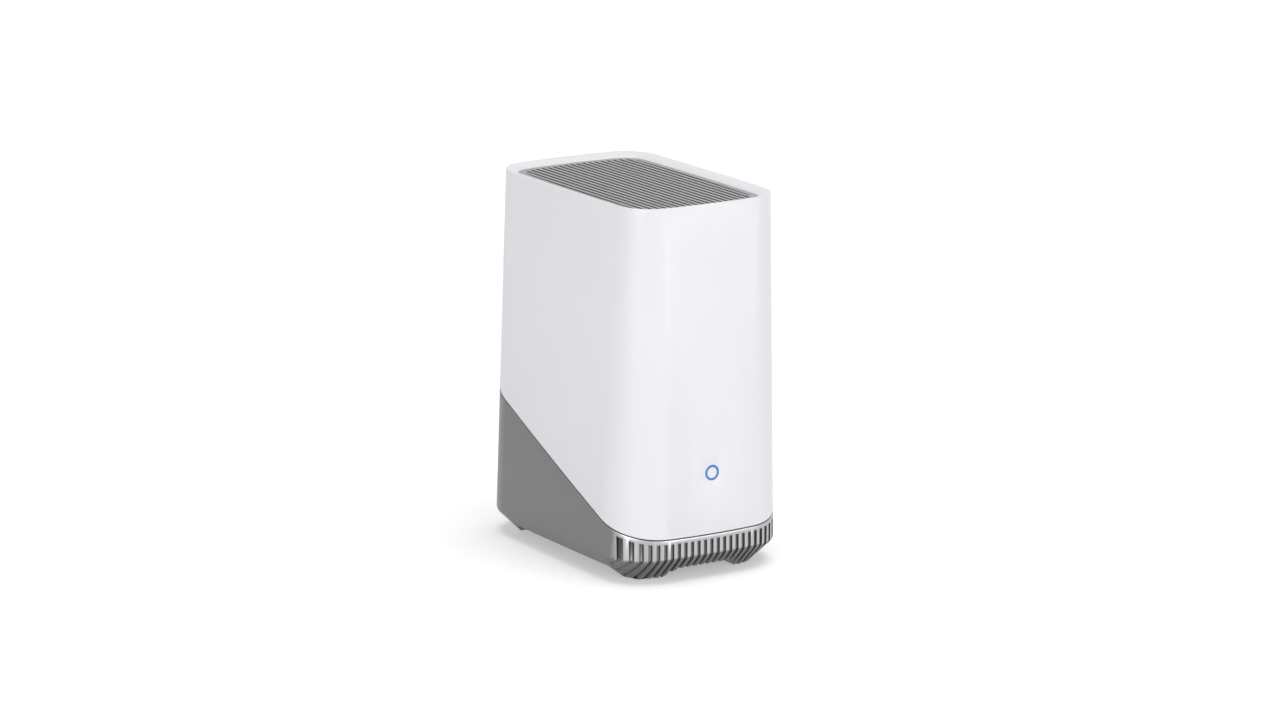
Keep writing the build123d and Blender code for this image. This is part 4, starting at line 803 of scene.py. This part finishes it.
class STATION_OT_base(Operator):
    """Dress the grey base and the bay door in its underside"""

    bl_idname = "station.base"
    bl_label = "Grey base"

    def execute(self, context):
        sizes = context.scene.station_sizes
        material = base_finish()
        housing = dress_copy("base_housing", sizes.base_edge, material)
        # Paints a highlight on the front's upright outer faces with a lighter copy of the base paint
        self.paint_front_highlight(housing)
        dress_copy("bay_door", sizes.small_edge, material)
        return {"FINISHED"}

    def paint_front_highlight(self, housing):
        """Paints a highlight on the upright outer faces of the front, so they are brighter than the floors
        of the flutes.
        """
        edge = self.front_edge(housing)
        outer = []
        for face in housing.data.polygons:
            upright = face.normal.y < -FRONT_RISE and abs(face.normal.z) < FRONT_SLOPE
            if upright and face.center.y < self.edge_at(edge, face.center.x) + FLUTE_SHALLOW:
                outer.append(face)
        repaint(housing, front_highlight_finish(), outer)

    def front_edge(self, housing):
        """The outline of the front as seen from above, from left to right."""
        places = [vertex.co.xy for vertex in housing.data.vertices]
        around = [places[index] for index in convex_hull_2d(places)]
        return sorted((place.x, place.y) for place in around if place.y < 0)

    def edge_at(self, edge, x):
        """How far back the outline lies at a place along the front."""
        for (left, start), (right, end) in zip(edge, edge[1:]):
            if left < right and left <= x <= right:
                return start + (end - start) * (x - left) / (right - left)
        return edge[0][1]


class STATION_OT_grille(Operator):
    """Dress the slatted top, with painted shade on its slots' walls, and the dark mesh under it"""

    bl_idname = "station.grille"
    bl_label = "Slatted top"

    def execute(self, context):
        sizes = context.scene.station_sizes
        plate = dress_copy("top_grille", sizes.slat_edge, slat_finish())
        # The slots' walls get the black moulding finish as painted shade, so the gaps between the slats look
        # dark
        shade_painted_walls = [face for face in plate.data.polygons if face.normal.z < WALL_LEVEL]
        repaint(plate, plastic_finish(*BLACK), shade_painted_walls)
        dress_nodes(["grille_mesh"], mesh_finish())
        return {"FINISHED"}


class STATION_OT_ring(Operator):
    """Dress the status ring and the lamps behind it"""

    bl_idname = "station.ring"
    bl_label = "Status ring"

    def execute(self, context):
        dress_nodes(["status_ring"], ring_finish())
        dress_nodes(["status_leds"], lamp_finish())
        return {"FINISHED"}


class STATION_OT_panel(Operator):
    """Dress the port panel, the ports and the sync button"""

    bl_idname = "station.panel"
    bl_label = "Ports and button"

    def execute(self, context):
        sizes = context.scene.station_sizes
        looks = context.scene.station_finishes
        panel = plastic_finish("panel_plastic", looks.panel, PANEL_ROUGHNESS)
        dress_copy("port_panel", sizes.small_edge, panel)
        dress_copy("sync_button", sizes.small_edge, plastic_finish(*BUTTON))
        black = ["ethernet_jack", "power_inlet", "tact_switch", "switch_plunger"]
        dress_nodes(black, plastic_finish(*BLACK))
        dress_nodes(["usb_port"], metal_finish(*STEEL))
        dress_nodes(["power_inlet_pin"], metal_finish(*BRASS))
        return {"FINISHED"}


class STATION_OT_fasteners(Operator):
    """Dress the screws"""

    bl_idname = "station.fasteners"
    bl_label = "Screws"

    def execute(self, context):
        names = [name for name in frame["nodes"] if name.endswith(("_screws", "_screw"))]
        dress_nodes(names, metal_finish(*STEEL))
        return {"FINISHED"}


class STATION_OT_electronics(Operator):
    """Dress the boards, the chips, the cans, the heat sink and the antennas"""

    bl_idname = "station.electronics"
    bl_label = "Boards and chips"

    def execute(self, context):
        antennas = ["radio_antenna", "wifi_antenna_left", "wifi_antenna_right"]
        dress_nodes(["main_board", "led_board", "bay_board"] + antennas, board_finish())
        dress_nodes(["processor", "memory_chips", "bay_connector"], plastic_finish(*BLACK))
        dress_nodes(["wifi_shield", "radio_shield"], metal_finish(*STEEL))
        dress_nodes(["heat_sink"], metal_finish(*SINK))
        dress_nodes(["chassis", "drive_cage"], plastic_finish(*CHASSIS))
        return {"FINISHED"}


class STATION_OT_drive(Operator):
    """Dress the sled and the drive"""

    bl_idname = "station.drive"
    bl_label = "Drive and sled"

    def execute(self, context):
        dress_nodes(["drive_sled"], plastic_finish(*BLACK))
        dress_nodes(["hard_drive"], metal_finish(*CAST))
        return {"FINISHED"}


class STATION_OT_air_and_sound(Operator):
    """Dress the fan and the speaker"""

    bl_idname = "station.air_and_sound"
    bl_label = "Fan and speaker"

    def execute(self, context):
        dress_nodes(["fan_frame", "speaker_cup"], plastic_finish(*BLACK))
        dress_nodes(["fan_rotor"], plastic_finish(*FAN))
        dress_nodes(["fan_bearing"], metal_finish(*BRASS))
        dress_nodes(["speaker_basket"], metal_finish(*STEEL))
        dress_nodes(["speaker_magnet"], magnet_finish())
        dress_nodes(["speaker_cone"], cone_finish())
        dress_nodes(["speaker_gasket"], rubber_finish())
        return {"FINISHED"}


class STATION_OT_foot_pads(Operator):
    """Model the four rubber pads with a groove in their tread"""

    bl_idname = "station.foot_pads"
    bl_label = "Foot pads"

    def execute(self, context):
        material = rubber_finish()
        edge = context.scene.station_sizes.small_edge
        for node in [name for name in frame["nodes"] if name.startswith("foot_pad_")]:
            low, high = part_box(node)
            radius = (high.x - low.x) / 2
            pad = drum(node + "_tread", radius, high.z - low.z, (low + high) / 2)
            pick_faces(pad, DOWN)
            bpy.ops.mesh.bevel(offset=edge, segments=PAD_EDGE_STEPS, affect="EDGES")
            pick_faces(pad, DOWN, CAP_LEVEL)
            bpy.ops.mesh.inset(thickness=PAD_GROOVE_INSET)
            bpy.ops.mesh.inset(thickness=PAD_GROOVE_WIDTH)
            self.sink_groove(pad, low.z, radius - edge - PAD_GROOVE_INSET)
            complete(pad, body_of_node(node), material)
            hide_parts(node)
        return {"FINISHED"}

    def sink_groove(self, pad, level, outer):
        """Raises the ring between the two insets into the pad."""
        mesh = bmesh.from_edit_mesh(pad.data)
        centre = sum((vertex.co for vertex in mesh.verts), Vector()) / len(mesh.verts)
        for face in mesh.faces:
            middle = face.calc_center_median()
            reach = (middle - centre).xy.length
            inside = outer - PAD_GROOVE_WIDTH < reach < outer
            face.select = inside and abs(middle.z - level) < MERGE_DISTANCE and face.normal.z < 0
        bmesh.update_edit_mesh(pad.data)
        extrude((0, 0, PAD_GROOVE_DEPTH))
        leave_mesh()


class STATION_OT_jack_fittings(Operator):
    """Model the contact wires and the two lamp windows of the network jack"""

    bl_idname = "station.jack_fittings"
    bl_label = "Network jack fittings"

    def execute(self, context):
        low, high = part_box("ethernet_jack")
        centre = (low.x + high.x) / 2
        roof = high.z - JACK_ROOF
        front = high.y - JACK_WIRE_SETBACK
        wire = bar(
            "jack_wire",
            (centre - JACK_WIRE_WIDTH / 2, front - JACK_WIRE_TAIL, roof - JACK_WIRE_THICKNESS),
            (centre + JACK_WIRE_WIDTH / 2, front, roof),
        )
        pick_faces(wire, FORWARD)
        for _ in range(JACK_WIRE_STEPS):
            extrude((0, -JACK_STEP_RUN, -JACK_STEP_DROP))
        leave_mesh()
        wires = []
        for shift in row(JACK_WIRES, JACK_WIRE_PITCH):
            wires.append(copy_piece(wire, "jack_wire_copy", (shift, 0, 0)))
        bpy.data.objects.remove(wire)
        complete(join_pieces("jack_contacts", wires), "housing", metal_finish(*BRASS))
        self.lamps(low, high)
        return {"FINISHED"}

    def lamps(self, low, high):
        """A window at each lower corner of the socket's face."""
        windows = []
        bottom = low.z + JACK_LAMP_RISE
        for side, edge in ((1, low.x + JACK_LAMP_INSET), (-1, high.x - JACK_LAMP_INSET)):
            other = edge + side * JACK_LAMP_WIDTH
            window = bar(
                "jack_lamp",
                (min(edge, other), high.y - JACK_LAMP_DEPTH, bottom),
                (max(edge, other), high.y + JACK_LAMP_PROUD, bottom + JACK_LAMP_HEIGHT),
            )
            bevel_all(window, CHIP_EDGE)
            windows.append(window)
        complete(join_pieces("jack_lamps", windows), "housing", lamp_finish())


class STATION_OT_usb_fittings(Operator):
    """Model the contact strips and the leaf springs of the USB port"""

    bl_idname = "station.usb_fittings"
    bl_label = "USB port fittings"

    def execute(self, context):
        low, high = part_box("usb_port")
        centre = (low.x + high.x) / 2
        level = high.z - USB_SHEET - USB_TONGUE_UNDERSIDE
        rear = high.y - USB_STRIP_SETBACK
        strips = []
        for shift in row(USB_STRIPS, USB_STRIP_PITCH):
            x = centre + shift
            strip = bar(
                "usb_strip",
                (x - USB_STRIP_WIDTH / 2, rear - USB_STRIP_LENGTH, level - USB_STRIP_THICKNESS),
                (x + USB_STRIP_WIDTH / 2, rear, level),
            )
            bevel_all(strip, USB_STRIP_THICKNESS * USB_STRIP_EDGE_SHARE)
            strips.append(strip)
        complete(join_pieces("usb_contacts", strips), "housing", metal_finish(*BRASS))
        self.leaves(centre, low, high)
        return {"FINISHED"}

    def leaves(self, centre, low, high):
        """Two springs under the roof of the sheet metal frame and two on its floor."""
        leaves = []
        rear = high.y - USB_LEAF_SETBACK
        for side in (-1, 1):
            x = centre + side * USB_LEAF_PLACE
            for level, way in ((low.z + USB_SHEET, 1), (high.z - USB_SHEET, -1)):
                inner = level + way * USB_LEAF_THICKNESS
                leaf = bar(
                    "usb_leaf",
                    (x - USB_LEAF_WIDTH / 2, rear - USB_LEAF_LENGTH / 2, min(level, inner)),
                    (x + USB_LEAF_WIDTH / 2, rear, max(level, inner)),
                )
                pick_faces(leaf, FORWARD)
                extrude((0, -USB_LEAF_LENGTH / 2, way * USB_LEAF_BEND))
                leave_mesh()
                leaves.append(leaf)
        complete(join_pieces("usb_springs", leaves), "housing", metal_finish(*STEEL))


class STATION_OT_power_sleeve(Operator):
    """Model the spring sleeve in the power inlet"""

    bl_idname = "station.power_sleeve"
    bl_label = "Power inlet sleeve"

    def execute(self, context):
        low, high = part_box("power_inlet")
        centre = (low + high) / 2
        centre.y = high.y - SLEEVE_SETBACK - SLEEVE_LENGTH / 2
        sleeve = drum("power_sleeve", SLEEVE_RADIUS, SLEEVE_LENGTH, centre, LYING)
        for direction in (BACKWARD, FORWARD):
            pick_faces(sleeve, direction)
            bpy.ops.mesh.inset(thickness=SLEEVE_WALL)
        mesh = bmesh.from_edit_mesh(sleeve.data)
        for face in mesh.faces:
            flat = abs(face.normal.y) > FACE_LEVEL
            face.select = flat and (face.calc_center_median() - centre).xz.length < SLEEVE_WALL
        bmesh.update_edit_mesh(sleeve.data)
        bpy.ops.mesh.bridge_edge_loops()
        leave_mesh()
        complete(sleeve, "housing", metal_finish(*STEEL))
        return {"FINISHED"}


class STATION_OT_door_ribs(Operator):
    """Model the ribs in the finger recess of the bay door"""

    bl_idname = "station.door_ribs"
    bl_label = "Door ribs"

    def execute(self, context):
        low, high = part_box("bay_door")
        centre = (low.x + high.x) / 2
        top = low.z + DOOR_RECESS
        ribs = []
        for index in range(DOOR_RIBS):
            y = high.y - DOOR_RIB_INSET - index * DOOR_RIB_PITCH
            rib = bar(
                "door_rib",
                (centre - DOOR_RIB_LENGTH / 2, y - DOOR_RIB_WIDTH, top - DOOR_RIB_HEIGHT),
                (centre + DOOR_RIB_LENGTH / 2, y, top + CHIP_EDGE),
            )
            bevel_all(rib, CHIP_EDGE)
            ribs.append(rib)
        complete(join_pieces("door_ribs", ribs), "drive_drawer", base_finish())
        return {"FINISHED"}


class STATION_OT_drive_details(Operator):
    """Model the pressed ring, hub and screws of the drive's lid, and the board on its back"""

    bl_idname = "station.drive_details"
    bl_label = "Drive details"

    def execute(self, context):
        low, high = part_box("hard_drive")
        self.lid(low, high)
        self.screws(low, high)
        self.board(low, high)
        return {"FINISHED"}

    def lid(self, low, high):
        """A raised disc with a hollow ring round its hub."""
        hub_z = high.z - LID_RING_RISE - LID_RING_RADIUS
        hub = Vector((0, low.y - LID_RING_HEIGHT / 2 + LID_SINK / 2, hub_z))
        depth = LID_RING_HEIGHT + LID_SINK
        ring = drum("lid_ring", LID_RING_RADIUS, depth, hub, LYING)
        pick_faces(ring, FORWARD)
        hollow = LID_RING_HEIGHT * LID_HOLLOW_SHARE
        bpy.ops.mesh.inset(thickness=LID_RING_STEP)
        extrude((0, hollow, 0))
        bpy.ops.mesh.inset(thickness=LID_RING_RADIUS - LID_RING_STEP - LID_HUB_RADIUS)
        extrude((0, -hollow, 0))
        leave_mesh()
        complete(ring, "drive_drawer", metal_finish(*LID))

    def screws(self, low, high):
        screws = []
        middle = (low.z + high.z) / 2
        depth = LID_SCREW_HEIGHT + LID_SINK
        for x in (low.x + LID_SCREW_INSET, high.x - LID_SCREW_INSET):
            for z in (low.z + LID_SCREW_INSET, middle, high.z - LID_SCREW_INSET):
                place = (x, low.y - LID_SCREW_HEIGHT / 2 + LID_SINK / 2, z)
                head = drum("lid_screw", LID_SCREW_RADIUS, depth, place, LYING, LID_SCREW_STEPS)
                pick_faces(head, FORWARD)
                bpy.ops.mesh.inset(thickness=LID_SCREW_RADIUS / 2)
                extrude((0, LID_SCREW_HEIGHT / 2, 0))
                leave_mesh()
                screws.append(head)
        complete(join_pieces("lid_screws", screws), "drive_drawer", metal_finish(*STEEL))

    def board(self, low, high):
        """The drive's own board, in the window of the sled."""
        bottom = low.z + DRIVE_BOARD_INSET
        rear = high.y + DRIVE_BOARD_THICKNESS
        board = bar(
            "drive_board",
            (-DRIVE_BOARD_HALF, high.y, bottom),
            (DRIVE_BOARD_HALF, rear, bottom + DRIVE_BOARD_HEIGHT),
        )
        bevel_all(board, CHIP_EDGE)
        complete(board, "drive_drawer", board_finish())
        chips = []
        for (width, height), (x, z) in zip(DRIVE_CHIP_SIZES, DRIVE_CHIP_PLACES):
            chip = bar(
                "drive_chip",
                (x - width / 2, rear - CHIP_EDGE, bottom + z - height / 2),
                (x + width / 2, rear + DRIVE_CHIP_HEIGHT, bottom + z + height / 2),
            )
            bevel_all(chip, CHIP_EDGE)
            chips.append(chip)
        complete(join_pieces("drive_chips", chips), "drive_drawer", plastic_finish(*BLACK))


class STATION_OT_capacitors(Operator):
    """Model the can capacitors on the main board"""

    bl_idname = "station.capacitors"
    bl_label = "Capacitors"

    def execute(self, context):
        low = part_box("main_board")[0]
        cans = []
        rows = zip(CAPACITOR_RADII, CAPACITOR_HEIGHTS, CAPACITOR_X, CAPACITOR_RISE)
        for radius, height, x, rise in rows:
            centre = (x, low.y - height / 2, low.z + rise)
            can = drum("capacitor", radius, height, centre, LYING, CAPACITOR_STEPS)
            pick_faces(can, FORWARD)
            bpy.ops.mesh.bevel(offset=CAPACITOR_EDGE, segments=CAPACITOR_EDGE_STEPS, affect="EDGES")
            pick_faces(can, FORWARD, CAP_LEVEL)
            bpy.ops.mesh.inset(thickness=CAPACITOR_CROWN, depth=-CAPACITOR_EDGE / 2)
            leave_mesh()
            cans.append(can)
        joined = join_pieces("board_capacitors", cans)
        complete(joined, "housing", metal_finish(*CAN))
        return {"FINISHED"}


def seen_directly(tree):
    """1 for camera, glossy and transmission rays, 0 for the light that falls on matt faces."""
    rays = tree.nodes.new("ShaderNodeLightPath").outputs
    seen = calculate(tree, "MAXIMUM", rays["Is Camera Ray"], rays["Is Glossy Ray"])
    return calculate(tree, "MAXIMUM", seen, rays["Is Transmission Ray"])


def aim(thing, target):
    thing.rotation_euler = (Vector(target) - thing.location).to_track_quat("-Z", "Y").to_euler()


def soft_lamp(name, place, size, power):
    lamp = bpy.data.lights.new(name, "AREA")
    lamp.shape = "RECTANGLE"
    lamp.size, lamp.size_y = size
    lamp.energy = power
    holder = bpy.data.objects.new(name, lamp)
    bpy.context.scene.collection.objects.link(holder)
    holder.location = place
    holder.visible_camera = False
    aim(holder, LAMP_TARGET)


class STATION_OT_stage(Operator):
    """Set the floor, the room light, the lamps and the camera"""

    bl_idname = "station.stage"
    bl_label = "Stage"

    def execute(self, context):
        stage = context.scene.station_stage
        self.floor(stage)
        self.room(stage)
        soft_lamp("key_lamp", KEY_PLACE, KEY_SIZE, stage.key_power)
        soft_lamp("corner_lamp", CORNER_PLACE, CORNER_SIZE, stage.corner_power)
        soft_lamp("top_lamp", TOP_PLACE, TOP_SIZE, stage.top_power)
        self.camera(stage)
        context.scene.view_settings.view_transform = "Standard"
        return {"FINISHED"}

    def floor(self, stage):
        clear_selection()
        bpy.ops.mesh.primitive_plane_add(size=FLOOR_SIZE)
        floor = settle("floor")
        material, tree, shader = new_finish(*FLOOR)
        shader.inputs["Specular IOR Level"].default_value = 0.0
        ends = shades(FLOOR_COLOUR, FLOOR_SHARES)
        tone(tree, noise(tree, FLOOR_GRAIN), shader.inputs["Base Color"], ends, WHOLE)
        strength = calculate(tree, "MULTIPLY", seen_directly(tree), self.glow(tree, stage))
        shader.inputs["Emission Color"].default_value = WHITE
        tree.links.new(strength, shader.inputs["Emission Strength"])
        floor.data.materials.append(material)

    def glow(self, tree, stage):
        """Rises with the distance from the station, where less of the lamps' light falls."""
        distance = tree.nodes.new("ShaderNodeVectorMath")
        distance.operation = "LENGTH"
        tree.links.new(object_place(tree), distance.inputs[0])
        ends = (stage.floor_glow, FULL_LIGHT)
        spread = spread_between(tree, distance.outputs["Value"], ends, GLOW_START, GLOW_END)
        return spread.outputs["Result"]

    def room(self, stage):
        world = bpy.data.worlds.new("white_room")
        world.use_nodes = True
        tree = world.node_tree
        light = tree.nodes["Background"]
        light.inputs["Color"].default_value = WHITE
        spread = spread_between(tree, seen_directly(tree), (stage.room_light, FULL_LIGHT))
        tree.links.new(spread.outputs["Result"], light.inputs["Strength"])
        bpy.context.scene.world = world

    def camera(self, stage):
        lens = bpy.data.cameras.new("photo_camera")
        lens.sensor_width = SENSOR_WIDTH
        lens.lens = stage.focal_length
        camera = bpy.data.objects.new("photo_camera", lens)
        bpy.context.scene.collection.objects.link(camera)
        camera.location = stage.camera_place
        aim(camera, stage.camera_target)
        bpy.context.scene.camera = camera


OPERATORS = (
    STATION_OT_shell,
    STATION_OT_base,
    STATION_OT_grille,
    STATION_OT_ring,
    STATION_OT_panel,
    STATION_OT_fasteners,
    STATION_OT_electronics,
    STATION_OT_drive,
    STATION_OT_air_and_sound,
    STATION_OT_foot_pads,
    STATION_OT_jack_fittings,
    STATION_OT_usb_fittings,
    STATION_OT_power_sleeve,
    STATION_OT_door_ribs,
    STATION_OT_drive_details,
    STATION_OT_capacitors,
    STATION_OT_stage,
)


class STATION_PT_sidebar(Panel):
    """The list of pieces in the sidebar"""

    bl_idname = "STATION_PT_sidebar"
    bl_label = "Base Station"
    bl_space_type = "VIEW_3D"
    bl_region_type = "UI"
    bl_category = "Base Station"

    def draw(self, context):
        for operator in OPERATORS:
            self.layout.operator(operator.bl_idname)


GROUPS = (StationSizes, StationFinishes, StationStage)


def register():
    for entry in GROUPS + OPERATORS + (STATION_PT_sidebar,):
        bpy.utils.register_class(entry)
    bpy.types.Scene.station_sizes = PointerProperty(type=StationSizes)
    bpy.types.Scene.station_finishes = PointerProperty(type=StationFinishes)
    bpy.types.Scene.station_stage = PointerProperty(type=StationStage)


def unregister():
    del bpy.types.Scene.station_stage
    del bpy.types.Scene.station_finishes
    del bpy.types.Scene.station_sizes
    for entry in reversed(GROUPS + OPERATORS + (STATION_PT_sidebar,)):
        bpy.utils.unregister_class(entry)


def main():
    register()
    bpy.ops.station.shell()
    bpy.ops.station.base()
    bpy.ops.station.grille()
    bpy.ops.station.ring()
    bpy.ops.station.panel()
    bpy.ops.station.fasteners()
    bpy.ops.station.electronics()
    bpy.ops.station.drive()
    bpy.ops.station.air_and_sound()
    bpy.ops.station.foot_pads()
    bpy.ops.station.jack_fittings()
    bpy.ops.station.usb_fittings()
    bpy.ops.station.power_sleeve()
    bpy.ops.station.door_ribs()
    bpy.ops.station.drive_details()
    bpy.ops.station.capacitors()
    bpy.ops.station.stage()
    clear_selection()


if __name__ == "__main__":
    main()
